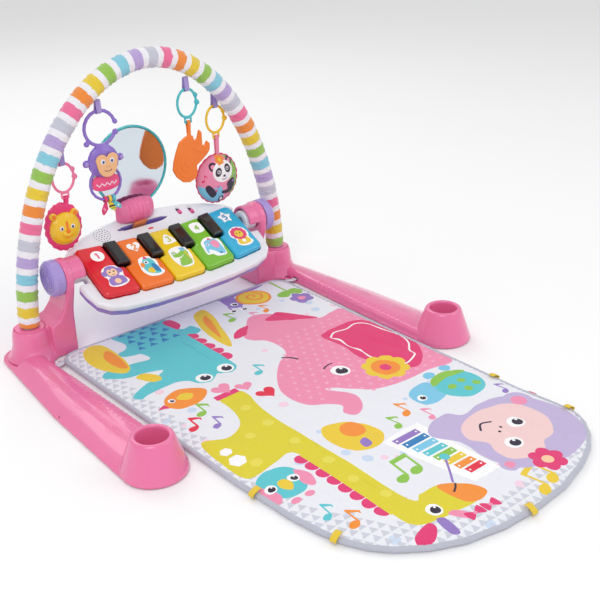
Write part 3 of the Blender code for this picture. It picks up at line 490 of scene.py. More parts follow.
def base_details(base, side, word):
    """Raised ribs and slanted strokes moulded on the base's low arm."""
    tree = BVHTree.FromObject(base, bpy.context.evaluated_depsgraph_get())
    bm = bmesh.new()

    def bar(a, b, width, height):
        """A rounded ridge laid on the surface from a to b."""
        a, b = Vector(a), Vector(b)
        across = Vector((-(b - a).y, (b - a).x)).normalized() * width / 2
        rows = []
        for k in range(7):
            p = a.lerp(b, k / 6)
            taper = sin(pi * (0.12 + 0.76 * k / 6)) ** 0.5
            row = []
            for share, lift in ((-1, -0.0006), (-0.6, 0.6), (0, 1), (0.6, 0.6), (1, -0.0006)):
                q = p + across * share * taper
                hit, normal, _, _ = tree.ray_cast(Vector((q.x, q.y, 0.2)), Vector((0, 0, -1)))
                if hit is None or hit.z < 0.004:
                    return
                rise = height * lift * taper if lift > 0 else lift
                row.append(bm.verts.new(hit + normal * rise))
            rows.append(row)
        for first, second in zip(rows, rows[1:]):
            for j in range(4):
                bm.faces.new((first[j], first[j + 1], second[j + 1], second[j]))

    for k in range(20):
        y = SOCKET_Y - 0.36 + 0.0126 * k
        bar((side * 0.2660, y), (side * 0.2860, y - 0.004), 0.0040, 0.0010)
    for group in range(3):
        for k in range(6):
            y = SOCKET_Y - 0.345 + 0.095 * group + 0.0056 * k
            reach = 0.010 * sin(pi * (k + 0.5) / 6) + 0.010
            bar((side * (0.3080 - reach / 2), y), (side * (0.3080 + reach / 2), y + 0.006), 0.0015, 0.0006)
    mesh = bpy.data.meshes.new(f"base_ribs_{word}")
    bm.normal_update()
    bm.to_mesh(mesh)
    bm.free()
    mesh.materials.append(pink)
    for face in mesh.polygons:
        face.use_smooth = True
    obj = placed(f"base_ribs_{word}", mesh)
    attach(obj, "base")


def knob_rings():
    """Concentric moulded rings on the knobs' faces."""
    for side, word in SIDES:
        low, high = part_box(f"hub_knob_{word}")
        face = high[0] if side > 0 else low[0]
        middle = ((low[1] + high[1]) / 2, (low[2] + high[2]) / 2)
        for number, radius in enumerate((0.0085, 0.0150, 0.0215)):
            path = [(face + side * 0.0001, middle[0] + radius * cos(a), middle[1] + radius * sin(a))
                    for a in (tau * k / 56 for k in range(56))]
            ring = tube(f"knob_ring_{word}_{number + 1}", path, 0.0011, lilac, "piano", 8, True,
                        Vector((1, 0, 0)))


# ---- gathered sleeve ----
STRIPES = [srgb(240, 140, 52), srgb(232, 202, 52), srgb(150, 196, 82), srgb(134, 202, 222),
           srgb(184, 162, 214),
           srgb(198, 199, 213), srgb(238, 112, 156)]
STRIPE_NAMES = ["orange", "yellow", "green", "cyan", "purple", "grey", "pink"]


def arch_point(t):
    return Vector((-SOCKET_X * cos(t), SOCKET_Y, ARCH_Z + ARCH_RISE * sin(t)))


def build_sleeve():
    start = asin((SLEEVE_START_Z - ARCH_Z) / ARCH_RISE)
    fine = [start + (pi - 2 * start) * k / 3000 for k in range(3001)]
    pts = [arch_point(t) for t in fine]
    run = [0.0]
    for a, b in zip(pts, pts[1:]):
        run.append(run[-1] + (b - a).length)
    total = run[-1]
    rows, sides, pitch = 900, 44, total / STRIPES_ALONG
    where = np.interp(np.linspace(0, total, rows + 1), run, fine)
    verts, faces, picks = [], [], []
    for k, t in enumerate(where):
        s = total * k / rows
        centre = arch_point(t)
        along = Vector((SOCKET_X * sin(t), 0, ARCH_RISE * cos(t))).normalized()
        out = Vector((-cos(t) * ARCH_RISE, 0, sin(t) * SOCKET_X)).normalized()
        side = Vector((0, 1, 0))
        for j in range(sides):
            a = tau * j / sides
            # rings of gathers, each wandering round the tube, with finer crumples between them
            drift = noise.noise(Vector((cos(a) * 1.3, sin(a) * 1.3, s * 22))) * 2.6
            rings = sin(tau * s / GATHER_PITCH + drift)
            crumple = noise.noise(Vector((cos(a) * 2.4, sin(a) * 2.4, s * 240)))
            broad = noise.noise(Vector((cos(a) * 0.8, sin(a) * 0.8, s * 60 + 9)))
            ends = min(1, s / 0.012, (total - s) / 0.012)
            radius = SLEEVE_R + 0.00055 * rings * (0.5 + broad) + 0.0012 * crumple + 0.0005 * broad
            radius -= 0.0016 * (1 - ends) ** 2
            verts.append(centre + (out * cos(a) + side * sin(a)) * radius)
    for k in range(rows):
        for j in range(sides):
            a, b = k * sides, (k + 1) * sides
            nxt = (j + 1) % sides
            faces.append((a + j, b + j, b + nxt, a + nxt))
            wander = 0.0011 * noise.noise(Vector((cos(tau * j / sides) * 2,
                                                  sin(tau * j / sides) * 2, k * 0.02)))
            s = total * (k + 0.5) / rows + wander
            number, share = int(s / pitch + 0.31), (s / pitch + 0.31) % 1
            picks.append(number % 7 if share < 0.62 else 7)
    count = len(verts)
    for k, t in enumerate(where):
        out = Vector((-cos(t) * ARCH_RISE, 0, sin(t) * SOCKET_X)).normalized()
        for j in range(sides):
            a = tau * j / sides
            verts.append(arch_point(t) + (out * cos(a) + side * sin(a)) * LINER_R)
    outer = list(faces)
    for quad in outer:
        faces.append(tuple(count + i for i in quad[::-1]))
        picks.append(7)
    for first in (0, count - sides):
        for j in range(sides):
            nxt = (j + 1) % sides
            quad = (first + j, first + nxt, count + first + nxt, count + first + j)
            faces.append(quad if first == 0 else quad[::-1])
            picks.append(7)
    mats = [fabric(f"sleeve_{n}", c, sheen=0.4) for n, c in zip(STRIPE_NAMES, STRIPES)]
    mats.append(fabric("sleeve_white", srgb(240, 238, 244), sheen=0.4))
    obj = mesh_object("sleeve_looks", verts, faces, mats, picks)
    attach(obj, "arch")
    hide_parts("arch_sleeve")


# ---- printed mat ----
MAT_COLOURS = {
    "white": srgb(236, 237, 244), "spot_blue": srgb(204, 220, 242), "spot_pink": srgb(246, 212, 228),
    "lime": srgb(224, 210, 48), "straw": srgb(232, 220, 84), "lavender": srgb(194, 180, 218),
    "blush": srgb(244, 208, 208),
    "binding": srgb(188, 190, 204), "border": srgb(206, 208, 220), "teal": srgb(92, 200, 210),
    "blue": srgb(48, 130, 190), "pink": srgb(242, 146, 180), "magenta": srgb(228, 58, 118),
    "yellow": srgb(238, 204, 56), "orange": srgb(246, 146, 54), "purple": srgb(150, 122, 196),
    "green": srgb(142, 198, 76), "dark": srgb(46, 34, 60), "sky": srgb(126, 200, 232),
    "peach": srgb(250, 206, 166), "red": srgb(230, 44, 72), "snow": srgb(252, 252, 254),
    "check": srgb(246, 170, 198)}


def note(x, y, size, colour, double=False, turn=0.0):
    """A music note: an oval head, a stem and a flag."""
    place = Matrix.Rotation(turn, 2)
    parts = []

    def put(points):
        parts.append(([Vector((x, y)) + place @ (Vector(p) * size) for p in points], colour))

    put(circle(-0.25, -0.42, 0.26, 0.19, 16, 0.4))
    put([(-0.06, -0.4), (0.03, -0.4), (0.03, 0.5), (-0.06, 0.5)])
    if double:
        put(circle(0.40, -0.32, 0.26, 0.19, 16, 0.4))
        put([(0.58, -0.3), (0.67, -0.3), (0.67, 0.6), (0.58, 0.6)])
        put([(-0.06, 0.32), (-0.06, 0.52), (0.67, 0.62), (0.67, 0.42)])
    else:
        put([(0.03, 0.5), (0.03, 0.25), (0.30, 0.12), (0.36, -0.05), (0.42, 0.16), (0.24, 0.34)])
    return parts


def mat_print():
    """The printed animals, in millimetres on the mat's plan, back to front."""
    s = []

    def add(outline, colour):
        s.append((outline, colour))

    def curve(points, colour, per=5):
        add(spline(points, per), colour)

    def eye(x, y, r, pupil="dark"):
        add(circle(x, y, r), "snow")
        add(circle(x + r * 0.1, y - r * 0.1, r * 0.62), pupil)
        add(circle(x + r * 0.32, y + r * 0.28, r * 0.17, steps=12), "snow")

    def petals(cx, cy, ring, count, r, colour, turn=0.0):
        for k in range(count):
            a = tau * k / count + turn
            add(circle(cx + ring * cos(a), cy + ring * sin(a), r), colour)

    rng = np.random.default_rng(7)
    for _ in range(90):
        x, y = rng.uniform(-235, 240), rng.uniform(-455, 335)
        add(circle(x, y, rng.uniform(4, 9), steps=14), "spot_blue" if rng.random() < 0.6 else "spot_pink")
    edge = spline([tuple(p) for p in (Vector(q) * 1000 for q in mat_outline())], 2)
    inner = np.array([tuple(p) for p in inset_outline(edge, 9)])
    for row in range(58):
        for col in range(36):
            x, y = -252 + 14.4 * col + (row % 2) * 7.2, -470 + 14 * row
            near = np.hypot(inner[:, 0] - x, inner[:, 1] - y).min()
            reach = 11 if x > -180 and y > -300 else (26 if y > -300 else 44)
            if near < reach and (x < -150 or y < -330):
                add(poly((x - 6.6, y - 5.2), (x + 6.6, y - 5.2), (x, y + 6.4)), "border")
    # crocodile
    curve([(-140, 350), (-142, 300), (-152, 284), (-170, 278), (-170, 262), (-150, 255), (-140, 250),
           (-138, 226),
           (-170, 232), (-215, 236), (-232, 226), (-226, 210), (-200, 196), (-150, 182), (-150, 172),
           (-200, 152),
           (-228, 138), (-224, 122), (-205, 124), (-160, 128), (-135, 118), (-127, 100), (-109, 90),
           (-92, 100),
           (-84, 106), (-76, 104), (-61, 96), (-45, 104), (-40, 122), (-39, 200), (-36, 250), (-22, 250),
           (-9, 258), (-14, 282), (-34, 286), (-38, 350)], "teal")
    for k in range(5):
        y = 256 - 25 * k
        add(circle(-36, y - 10, 12, 12, 20), "magenta")
    add(poly((-62, 132), (-40, 132), (-40, 262), (-62, 262)), "teal")
    for row in range(5):
        for col in range(4):
            x, y = -128 + 24 * col + (row % 2) * 8, 338 - 17 * row
            if x < -48:
                add(poly((x - 8, y - 6), (x + 8, y - 6), (x, y + 8)), "blue")
    curve([(-44, 330), (-27, 332), (-25, 300), (-40, 290)], "magenta")
    for x, y in ((-109, 108), (-61, 114)):
        eye(x, y, 17 * 0.86)
    # fruit and leaves
    curve([(-190, 342), (-216, 318), (-226, 275), (-214, 232), (-196, 214), (-180, 222), (-172, 262),
           (-172, 320)],
          "yellow")
    curve([(-184, 300), (-198, 276), (-194, 236), (-182, 226), (-176, 262), (-176, 296)], "orange")
    curve([(-192, 186), (-174, 188), (-160, 168), (-164, 152), (-182, 160)], "yellow")
    curve([(44, 326), (16, 316), (-4, 268), (-14, 214), (-11, 166), (6, 190), (26, 244), (42, 290)], "yellow")
    curve([(30, 300), (14, 282), (2, 240), (-2, 205), (12, 236), (26, 272)], "orange")
    # snail
    curve([(92, 334), (86, 300), (94, 286), (112, 288), (122, 308), (122, 330), (180, 332), (196, 344),
           (96, 346)],
          "purple")
    add(circle(147, 301, 35), "orange")
    add(circle(147, 301, 30), "yellow")
    add(stroke([(147, 301), (153, 306), (150, 314), (139, 312), (136, 299), (145, 288), (160, 291),
                (167, 305),
                (160, 321)], 5), "orange")
    for x, y in ((81, 278), (102, 272)):
        add(stroke([(x + 4, y + 22), (x, y)], 4), "purple")
        eye(x, y, 7)
    eye(101, 302, 8)
    # flower at the back
    add(stroke([(216, 338), (214, 300), (216, 256)], 5), "green")
    curve([(215, 268), (196, 258), (184, 270), (196, 284), (213, 282)], "green")
    curve([(217, 268), (232, 256), (243, 270), (234, 284), (218, 282)], "green")
    petals(216, 238, 13, 5, 11, "purple", 0.3)
    add(circle(216, 238, 8), "pink")
    # elephant
    curve([(86, 236), (60, 212), (30, 180), (34, 158), (51, 140), (54, 103), (42, 78), (16, 64), (-18, 30),
           (-40, -5), (-47, -40), (-38, -70), (-14, -92), (-1, -110), (-14, -127), (-4, -145), (20, -134),
           (35, -108), (30, -82), (14, -56), (24, -56), (42, -79), (68, -105), (108, -120), (180, -122),
           (244, -120), (248, 20), (247, 143), (215, 150), (180, 148), (150, 190), (120, 226)], "pink")
    for row in range(15):
        for col in range(14):
            x, y = -30 + 20 * col + (row % 2) * 10, 130 - 17 * row
            centre = np.array([[x, y]])
            if inside(centre, ELEPHANT_DOTS)[0]:
                add(circle(x, y, 3.4, steps=10), "check")
    curve([(14, 186), (30, 206), (62, 212), (50, 196), (36, 184)], "magenta")
    curve([(99, 203), (118, 214), (140, 218), (162, 186), (180, 150), (140, 176)], "magenta")
    curve([(131, 84), (155, 97), (216, 97), (250, 64), (254, -10), (216, -79), (168, -99), (131, -23),
           (136, 30)],
          "magenta")
    add(stroke([(142, 74), (160, 84), (186, 80), (212, 84), (232, 64), (236, 30), (243, 0), (232, -30),
                (212, -52), (206, -70), (172, -82), (158, -58), (144, -26), (150, 6), (144, 30), (148, 56),
                (142, 74)], 3.2), "snow")
    add(stroke([(29, 75), (42, 66), (47, 51)], 4), "dark")
    eye(73, -26, 17)
    add(stroke([(56, -4), (66, 2), (80, 2)], 3), "dark")
    petals(138, -67, 27, 8, 14, "yellow")
    add(circle(138, -67, 25), "orange")
    add(circle(138, -67, 10), "magenta")
    # giraffe
    curve([(-226, -46), (-190, -62), (-152, -45), (-134, 0), (-131, 38), (-94, 38), (-88, 12), (-97, -20),
           (-102, -80), (-100, -200), (-98, -345), (-80, -347), (-50, -350), (-25, -363), (-10, -385),
           (-9, -402),
           (-40, -410), (-80, -404), (-115, -400), (-135, -385), (-138, -345), (-137, -168), (-180, -160),
           (-228, -163), (-234, -110)], "lime")
    add(poly((-136, 34), (-92, 34), (-92, 47), (-136, 47)), "magenta")
    for k in range(8):
        add(circle(-144, -178 - 23 * k, 11, steps=20), "magenta")
    add(poly((-140, -168), (-112, -168), (-112, -352), (-140, -352)), "lime")
    for x, y, r in ((-116, -12, 9), (-118, -70, 10), (-120, -135, 9), (-116, -205, 10), (-122, -262, 9),
                    (-112, -315, 9), (-160, -80, 9), (-196, -140, 10)):
        add(circle(x, y, r, steps=6), "straw")
    for x, y, r in ((-213, -90, 10), (-213, -118, 14)):
        add(circle(x, y, r, steps=6), "snow")
    curve([(-52, -352), (-26, -363), (-10, -385), (-8, -404), (-34, -410), (-50, -396)], "orange")
    add(stroke([(-44, -376), (-34, -370), (-25, -362)], 3), "dark")
    eye(-92, -384, 12)
    curve([(-120, -398), (-150, -404), (-158, -420), (-138, -426), (-118, -412)], "magenta")
    curve([(-108, -402), (-112, -430), (-100, -436), (-94, -404)], "purple")
    curve([(-84, -402), (-74, -424), (-62, -420), (-72, -402)], "pink")
    # bird, hearts, notes
    curve([(-205, 80), (-190, 100), (-165, 106), (-140, 92), (-130, 72), (-150, 54), (-180, 52), (-198, 62)],
          "orange")
    curve([(-180, 84), (-165, 92), (-152, 80), (-165, 68)], "yellow")
    add(poly((-206, 82), (-222, 74), (-203, 68)), "magenta")
    eye(-190, 84, 6)
    add(heart(-109, 59, 36, 0.2), "pink")
    add(heart(-77, 42, 30, -0.2), "pink")
    add(heart(-62, 2, 36, 0.1), "red")
    for x, y, size, colour, double in (
            (-167, 34, 36, "green", False), (-200, 8, 36, "red", False), (-171, -12, 30, "purple", False),
            (-22, 74, 34, "teal", False), (62, 265, 36, "green", False), (99, 237, 30, "pink", False),
            (132, 250, 30, "orange", False), (62, -178, 34, "orange", False), (84, -212, 30, "pink", False),
            (26, -196, 32, "green", False), (-58, -290, 44, "green", True), (-180, -322, 36, "orange", False),
            (62, -432, 46, "yellow", True), (-196, -288, 30, "teal", False),
            (226, -240, 28, "purple", False)):
        s.extend(note(x, y, size, colour, double, 0.15 if x > 0 else -0.1))
    # parrot
    curve([(-200, -166), (-228, -178), (-234, -206), (-220, -232), (-200, -238), (-180, -232), (-166, -206),
           (-172, -178)], "teal")
    for side in (-1, 1):
        curve([(-200 + side * 30, -190), (-200 + side * 42, -212), (-200 + side * 32, -236),
               (-200 + side * 20, -222)], "pink")
        add(circle(-200 + side * 12, -246, 8, 6), "pink")
        eye(-202 + side * 20, -204, 9)
    curve([(-206, -198), (-194, -198), (-190, -212), (-200, -224), (-210, -212)], "yellow")
    # pear
    curve([(-66, -136), (-46, -140), (-26, -152), (-10, -176), (-8, -206), (-30, -226), (-58, -224),
           (-78, -204),
           (-84, -172), (-78, -148)], "yellow")
    add(circle(-36, -170, 20), "orange")
    curve([(-52, -202), (-38, -198), (-40, -216), (-54, -218)], "purple")
    # turtle
    curve([(150, -150), (128, -146), (100, -156), (92, -176), (100, -196), (124, -202), (150, -190)], "sky")
    add(circle(169, -136, 11, 9), "sky")
    add(circle(207, -136, 11, 9), "sky")
    add(circle(185, -187, 43, 42), "teal")
    curve([(148, -166), (160, -148), (186, -143), (210, -148), (224, -166), (186, -160)], "green")
    for x, y in ((170, -186), (196, -182), (184, -208), (208, -204)):
        add(circle(x, y, 8, steps=6), "green")
    eye(108, -178, 8)
    # xylophone
    add(spline([(-26, -226), (0, -222), (44, -222), (50, -232), (50, -372), (44, -378), (4, -378), (-6, -366),
                (-28, -240)], 3), "snow")
    for k, colour in enumerate(("purple", "blue", "sky", "teal", "green", "yellow", "orange", "red")):
        y, x = -238 - 16.8 * k, 9 + 2.3 * k
        half = 25 - 1.2 * k
        add(poly((x - half, y - 6.5), (x + half, y - 6.5), (x + half, y + 6.5),
                                 (x - half, y + 6.5)), colour)
        for end in (-1, 1):
            add(circle(x + end * (half - 5), y, 1.8, steps=10), "snow")
    add(stroke([(12, -310), (-8, -336), (-27, -360)], 3.5), "purple")
    add(circle(12, -310, 8), "teal")
    # monkey
    curve([(36, -262), (60, -238), (100, -232), (118, -254), (160, -250), (206, -262), (238, -300),
           (246, -350),
           (226, -398), (190, -420), (140, -428), (100, -418), (66, -398), (52, -350), (58, -300)],
           "lavender")
    add(circle(213, -285, 25), "lavender")
    add(circle(213, -285, 13), "pink")
    add(circle(64, -385, 15), "lavender")
    add(circle(64, -385, 8), "pink")
    curve([(70, -306), (82, -280), (110, -266), (150, -264), (190, -278), (208, -306), (204, -346),
           (178, -376),
           (150, -380), (136, -392), (104, -396), (78, -378), (76, -350), (84, -330)], "blush")
    add(stroke([(100, -303), (115, -290), (132, -297)], 3.5), "dark")
    add(circle(120, -322, 2.6, steps=10), "dark")
    add(circle(131, -315, 2.6, steps=10), "dark")
    eye(160, -321, 14)
    eye(113, -354, 14)
    petals(115, -412, 17, 6, 11, "magenta")
    add(circle(115, -412, 9), "peach")
    for x, y in ((-57, -424), (-27, -425)):
        curve([(x, y), (x - 13, y + 9), (x - 13, y - 9)], "magenta")
        curve([(x, y), (x + 13, y + 9), (x + 13, y - 9)], "magenta")
        add(circle(x, y, 3.5, steps=12), "pink")
    return s


# the part of the elephant that its dots cover
ELEPHANT_DOTS = poly((60, 205), (56, 100), (-10, 28), (-38, -40), (-10, -80), (20, -60), (60, -112),
                                (240, -114), (242, 136), (180, 140), (120, 215))


def mat_outline():
    """The mat's plan in metres, the same curve as its CAD solid."""
    front, back, half = SOCKET_Y - 0.8588, SOCKET_Y - 0.038, 0.2507
    right = [(0.0150, 0), (0.0850, 0.0040), (0.1480, 0.0193), (0.1900, 0.0365), (0.2215, 0.0578),
             (0.2450, 0.0845), (0.2575, 0.1140), (0.2560, 0.1540), (half, 0.2100)]
    left = [(-0.2470, 0.3200), (-0.2400, 0.2050), (-0.2330, 0.1600), (-0.2240, 0.1250), (-0.2080, 0.0930),
            (-0.1866, 0.0676), (-0.1500, 0.0395), (-0.1045, 0.0179), (-0.0450, 0.0040)]
    out = [(x, front + y) for x, y in right]
    for side in (1, -1):
        cx, cy = side * (half - 0.034), back - 0.034
        for k in range(5):
            a = radians((0 if side > 0 else 90) + 22.5 * k)
            out.append((cx + 0.034 * cos(a), cy + 0.034 * sin(a)))
    out += [(x, front + y) for x, y in left]
    dense = []
    for a, b in zip(out, out[1:] + out[:1]):
        pieces = max(1, round((Vector(b) - Vector(a)).length / 0.022))
        dense.extend(tuple(Vector(a).lerp(Vector(b), k / pieces)) for k in range(pieces))
    return dense


def inset_outline(outline, distance):
    pts = [Vector(p) for p in outline]
    out = []
    for k, p in enumerate(pts):
        along = (pts[(k + 1) % len(pts)] - pts[k - 1]).normalized()
        out.append(p + Vector((-along.y, along.x)) * distance)
    return out


def build_mat():
    smooth = spline(mat_outline(), 4)
    ring = inset_outline(smooth, BINDING_INSET)
    border = [p * 1000 for p in ring]
    shapes = mat_print()
    flat, faces, picks = painted(border, shapes, 5.0)
    edge = np.array([tuple(p) for p in border])
    distance = np.full(len(flat), 1e9)
    for p in edge[::2]:
        distance = np.minimum(distance, np.hypot(flat[:, 0] - p[0], flat[:, 1] - p[1]))
    verts = []
    for (x, y), d in zip(flat, distance):
        pad = 1 - exp(-d / 9)
        # quilted swell, with shallow dimples and long soft creases
        wave = noise.noise(Vector((x * 0.011, y * 0.011, 3.1))) * 0.9
        wave += noise.noise(Vector((x * 0.035, y * 0.028, 7.7))) * 0.7
        crease = noise.noise(Vector((x * 0.02, y * 0.006, 1.2)))
        wave -= 1.1 * exp(-(crease / 0.07) ** 2) * 0.6
        verts.append((x / 1000, y / 1000, 0.0072 + (0.0046 + 0.0019 * wave) * pad))
    unique, slots = ink_slots("white", shapes, picks)
    mats = [fabric(f"mat_{u}", MAT_COLOURS[u], thread=2200, sheen=0.1, spread=0.05,
                   weave=0.3) for u in unique]
    base, count = len(verts), len(border)
    for z in (0.0060, 0.0012):
        verts.extend((p.x, p.y, z) for p in ring)
    start = len(verts)
    verts.append((0, float(edge[:, 1].mean()) / 1000, 0.0012))
    under = unique.index("white")
    for j in range(count):
        nxt = (j + 1) % count
        faces.append((j, base + j, base + nxt, nxt))
        faces.append((base + j, base + count + j, base + count + nxt, base + nxt))
        faces.append((base + count + j, start, base + count + nxt))
        slots.extend([under] * 3)
    obj = clean(mesh_object("mat_looks", verts, faces, mats, slots), weld=1e-6)
    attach(obj, "mat")
    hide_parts("play_mat")
    # bound edge
    path, radii = [], []
    for k, p in enumerate(ring):
        path.append((p.x, p.y, 0.0058))
        radii.append(0.0041 + 0.0002 * sin(k * 2.3))
    binding = tube("mat_binding", path, radii, fabric("mat_grey_binding", MAT_COLOURS["binding"], 2600),
                   "mat",
                   14, True)


# ---- ribbons, leaves, straps ----
def loop_path(x, y, bottom, top, half=0.0050, waist=0.0028):
    path = []
    for k in range(13):
        a = pi + pi * k / 12
        path.append((x, y + half * cos(a), bottom + half + half * sin(a)))
    for k in range(1, 8):
        share = k / 8
        path.append((x, y + half + (waist - half) * share, bottom + half + (top - bottom - 2 * half) * share))
    for k in range(9):
        a = pi * k / 8
        path.append((x, y + waist * cos(a), top - waist + waist * sin(a)))
    for k in range(1, 8):
        share = 1 - k / 8
        path.append((x, y - half - (waist - half) * share, bottom + half + (top - bottom - 2 * half) * share))
    return path


def build_ribbons():
    ribbon = fabric("lilac_ribbon", LILAC, 4200, 0.6, 0.3, 0.5)
    rows = (("lion", -0.1660, BEHIND_Y), ("monkey", MONKEY_X, SOCKET_Y), ("teether", TEETHER_X, SOCKET_Y),
            ("panda", 0.1580, BEHIND_Y))
    for word, x, y in rows:
        node = f"toy_loop_{word}"
        low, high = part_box(node)
        path = loop_path(x, y, low[2] + 0.0006, high[2] - 0.0006)
        obj = band(f"ribbon_{word}", path, (1, 0, 0), 0.0100, 0.0011, ribbon, "arch", True)
        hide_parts(node)


def flat_leaf(name, body, x, y, top, reach, lean, tone, ground, marks, node=None):
    """A small printed fabric leaf hanging from a ring: a loop, a neck and a pointed blade."""
    neck = 7.0
    outline = spline([(0, -neck + 1), (3.0, -neck), (4.6 + lean * 300, -reach * 500 * 0.9),
                      (6.2 + lean * 500, -reach * 640),
                      (3.6 + lean * 900, -reach * 880), (lean * 1000, -reach * 1000),
                      (-3.4 + lean * 850, -reach * 880), (-6.0 + lean * 500, -reach * 640),
                      (-4.4 + lean * 300, -reach * 450), (-3.0, -neck)], 4)
    flat, faces, picks = painted(outline, marks, 2.0)
    unique, slots = ink_slots(ground, marks, picks)
    mats = [tone[u] for u in unique]
    verts = []
    for side in (1, -1):
        for px, py in flat:
            curl = 0.0016 * sin((py + 7) / 9.0)
            verts.append((x + px / 1000, y + curl - side * 0.0009, top + py / 1000))
    total = len(flat)
    quads = both_sides(faces, total)
    slots = slots * 2
    edges = dict.fromkeys((a, b) for f in faces for a, b in zip(f, tuple(f[1:]) + (f[0],)))
    for a, b in edges:
        if (b, a) not in edges:
            quads.append((b, a, total + a, total + b))
            slots.append(unique.index(ground))
    loop = loop_path(0, 0, -0.0058, 0.0058, 0.0052, 0.0045)
    obj = clean(mesh_object(name, verts, quads, mats, slots))
    if node:
        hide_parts(node)
    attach(obj, body)
    ring = band(f"{name}_loop", [(x, y + b * 0.95, top + c * 0.95) for _, b, c in loop], (1, 0, 0), 0.0058,
                0.0010,
                tone[ground], body, True)
    return obj, ring


def build_leaves():
    x, y = MONKEY_X, SOCKET_Y
    top = 0.250
    tone = {k: fabric(f"leaf_{k}", MAT_COLOURS[k], 4200) for k in
            ("magenta", "pink", "yellow", "dark", "snow", "green", "teal", "sky", "orange")}
    rows = (
        ("leaf_pink_looks", "leaf_pink_tag", -0.0042, 0.0270, -0.0067, "magenta",
         [(circle(-4.4, -17, 2.2, 3.6, 14, 0.3), "pink")], "leaf_pink", "pink_ribbon"),
        ("leaf_yellow_looks", "leaf_yellow_tag", 0.0042, 0.0240, 0.0067, "yellow",
         [(poly((-6, -12), (12, -12), (12, -15), (-6, -15)), "dark"),
          (poly((-6, -17), (14, -17), (14, -19.5), (-6, -19.5)), "green"),
          (circle(4, -21.5, 1.3, steps=10), "snow")], "leaf_yellow", "yellow_ribbon"),
        ("leaf_cyan_looks", "monkey", 0.0122, 0.0215, 0.0110, "teal",
         [(circle(7.5, -15, 1.4, 2.6, 14, -0.3), "snow")], None, "teal_gloss"))
    for name, body, shift, reach, lean, ground, marks, node, finish in rows:
        obj, ring = flat_leaf(name, body, x + shift, y, top, reach, lean, tone, ground, marks, node)


def build_strap():
    """Orange strap from the mirror's clip, over the piano's back and into its slot."""
    profile = [(0.0575, 0.0150), (0.0590, 0.0085), (0.0610, 0.0020), (0.0620, -0.0110), (0.0625, -0.0250),
             (0.0640, -0.0345), (0.0680, -0.0400), (0.0755, -0.0418), (0.0840, -0.0415), (0.0910, -0.0385),
             (0.0950, -0.0330), (0.0962, -0.0240), (0.0965, -0.0150), (0.0960, -0.0030), (0.0950, 0.0040)]
    cloth = fabric("orange_strap", ORANGE, 2800, 0.75, 0.5)
    path = [to_world(STRAP_X, v, n) for v, n in profile]
    obj = band("mirror_strap_looks", path, (1, 0, 0), 0.0288, 0.0013, cloth, "piano")
    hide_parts("mirror_strap")


def build_webbing():
    web = fabric("white_webbing", srgb(226, 226, 236), 1600, 0.8, 0.7)
    y = SOCKET_Y - 0.068
    for side, word in SIDES:
        path = [(side * 0.2516, y + 0.0095, 0.0077), (side * 0.2550, y + 0.0035, 0.0077),
                (side * 0.2600, y + 0.0002, 0.0077), (side * 0.2665, y, 0.0077), (side * 0.2738, y, 0.0077)]
        verts = []
        for k, (px, py, pz) in enumerate(path):
            along = Vector(path[min(k + 1, 4)]) - Vector(path[max(k - 1, 0)])
            across = Vector((-along.y, along.x, 0)).normalized() * 0.0055
            for j, (share, lift) in enumerate(((-1, 0), (-0.9, 0.0006), (0, 0.0008), (0.9, 0.0006), (1, 0),
                                               (0.9, -0.0006), (0, -0.0008), (-0.9, -0.0006))):
                verts.append(Vector((px, py, pz + lift)) + across * share)
        faces = sweep_faces(5, 8, False)
        obj = clean(mesh_object(f"mat_webbing_{word}", verts, faces, [web]))
        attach(obj, "base")
        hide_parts(f"mat_strap_{word}")


def build_mat_loops():
    """Yellow ribbon loops sewn into the mat's bound edge, and a plain red tab."""
    outline = spline(mat_outline(), 6)
    cloth = fabric("yellow_loop", MAT_COLOURS["yellow"], 4200)
    red = fabric("red_tab", MAT_COLOURS["red"], 4200)
    targets = [(-0.245, -0.192), (-0.225, -0.335), (0.005, -0.470), (0.256, -0.207), (0.256, -0.350)]
    for number, spot in enumerate(targets):
        k = min(range(len(outline)), key=lambda i: (outline[i] - Vector(spot)).length)
        along = (outline[(k + 1) % len(outline)] - outline[k - 1]).normalized()
        out = Vector((along.y, -along.x))
        path = []
        for reach, height in ((0.0010, 0.0046), (0.0044, 0.0066), (0.0040, 0.0094), (0.0010, 0.0116),
                              (-0.0030, 0.0134), (-0.0060, 0.0146), (-0.0090, 0.0150), (-0.0118, 0.0142)):
            p = outline[k] + out * reach
            path.append((p.x, p.y, height))
        obj = band(f"mat_loop_{number + 1}", path, (along.x, along.y, 0), 0.0105, 0.0012, cloth, "mat")
    k = min(range(len(outline)), key=lambda i: (outline[i] - Vector((0.2565, -0.280))).length)
    along = (outline[(k + 1) % len(outline)] - outline[k - 1]).normalized()
    out = Vector((along.y, -along.x))
    path = [outline[k] + out * r for r in (-0.004, 0.000, 0.003, 0.0058)]
    path = [(p.x, p.y, 0.0066 - 0.0006 * i) for i, p in enumerate(path)]
    obj = band("mat_tab", path, (along.x, along.y, 0), 0.014, 0.0011, red, "mat")


# ---- toys ----
def build_toys():
    for node, mat, body, finish in (
            ("link_pink", link_pink, "pink_link_body",
             "pink_link"), ("link_teal", teal, "teal_link_body", "teal_gloss"),
            ("link_yellow", yellow, "yellow_link_body", "yellow_gloss")):
        soften(node, mat, body, 0.0006, 4)
    monkey = soften("monkey_body", purple, "monkey", 0.0009, 6)
    muzzle = soften("monkey_face", peach, "monkey", 0.0006, 6)
    teether_ridges(soften("teether", silicone, "teether_body", 0.0009, 12))
    clip = soften("mirror_clip", magenta_plastic, "piano", 0.0011, 7)
    soften("mirror_rim", teal, "mirror", 0.0010, 4)
    clip_ribs(clip)
    lion()
    monkey_features(muzzle, monkey)
    panda()


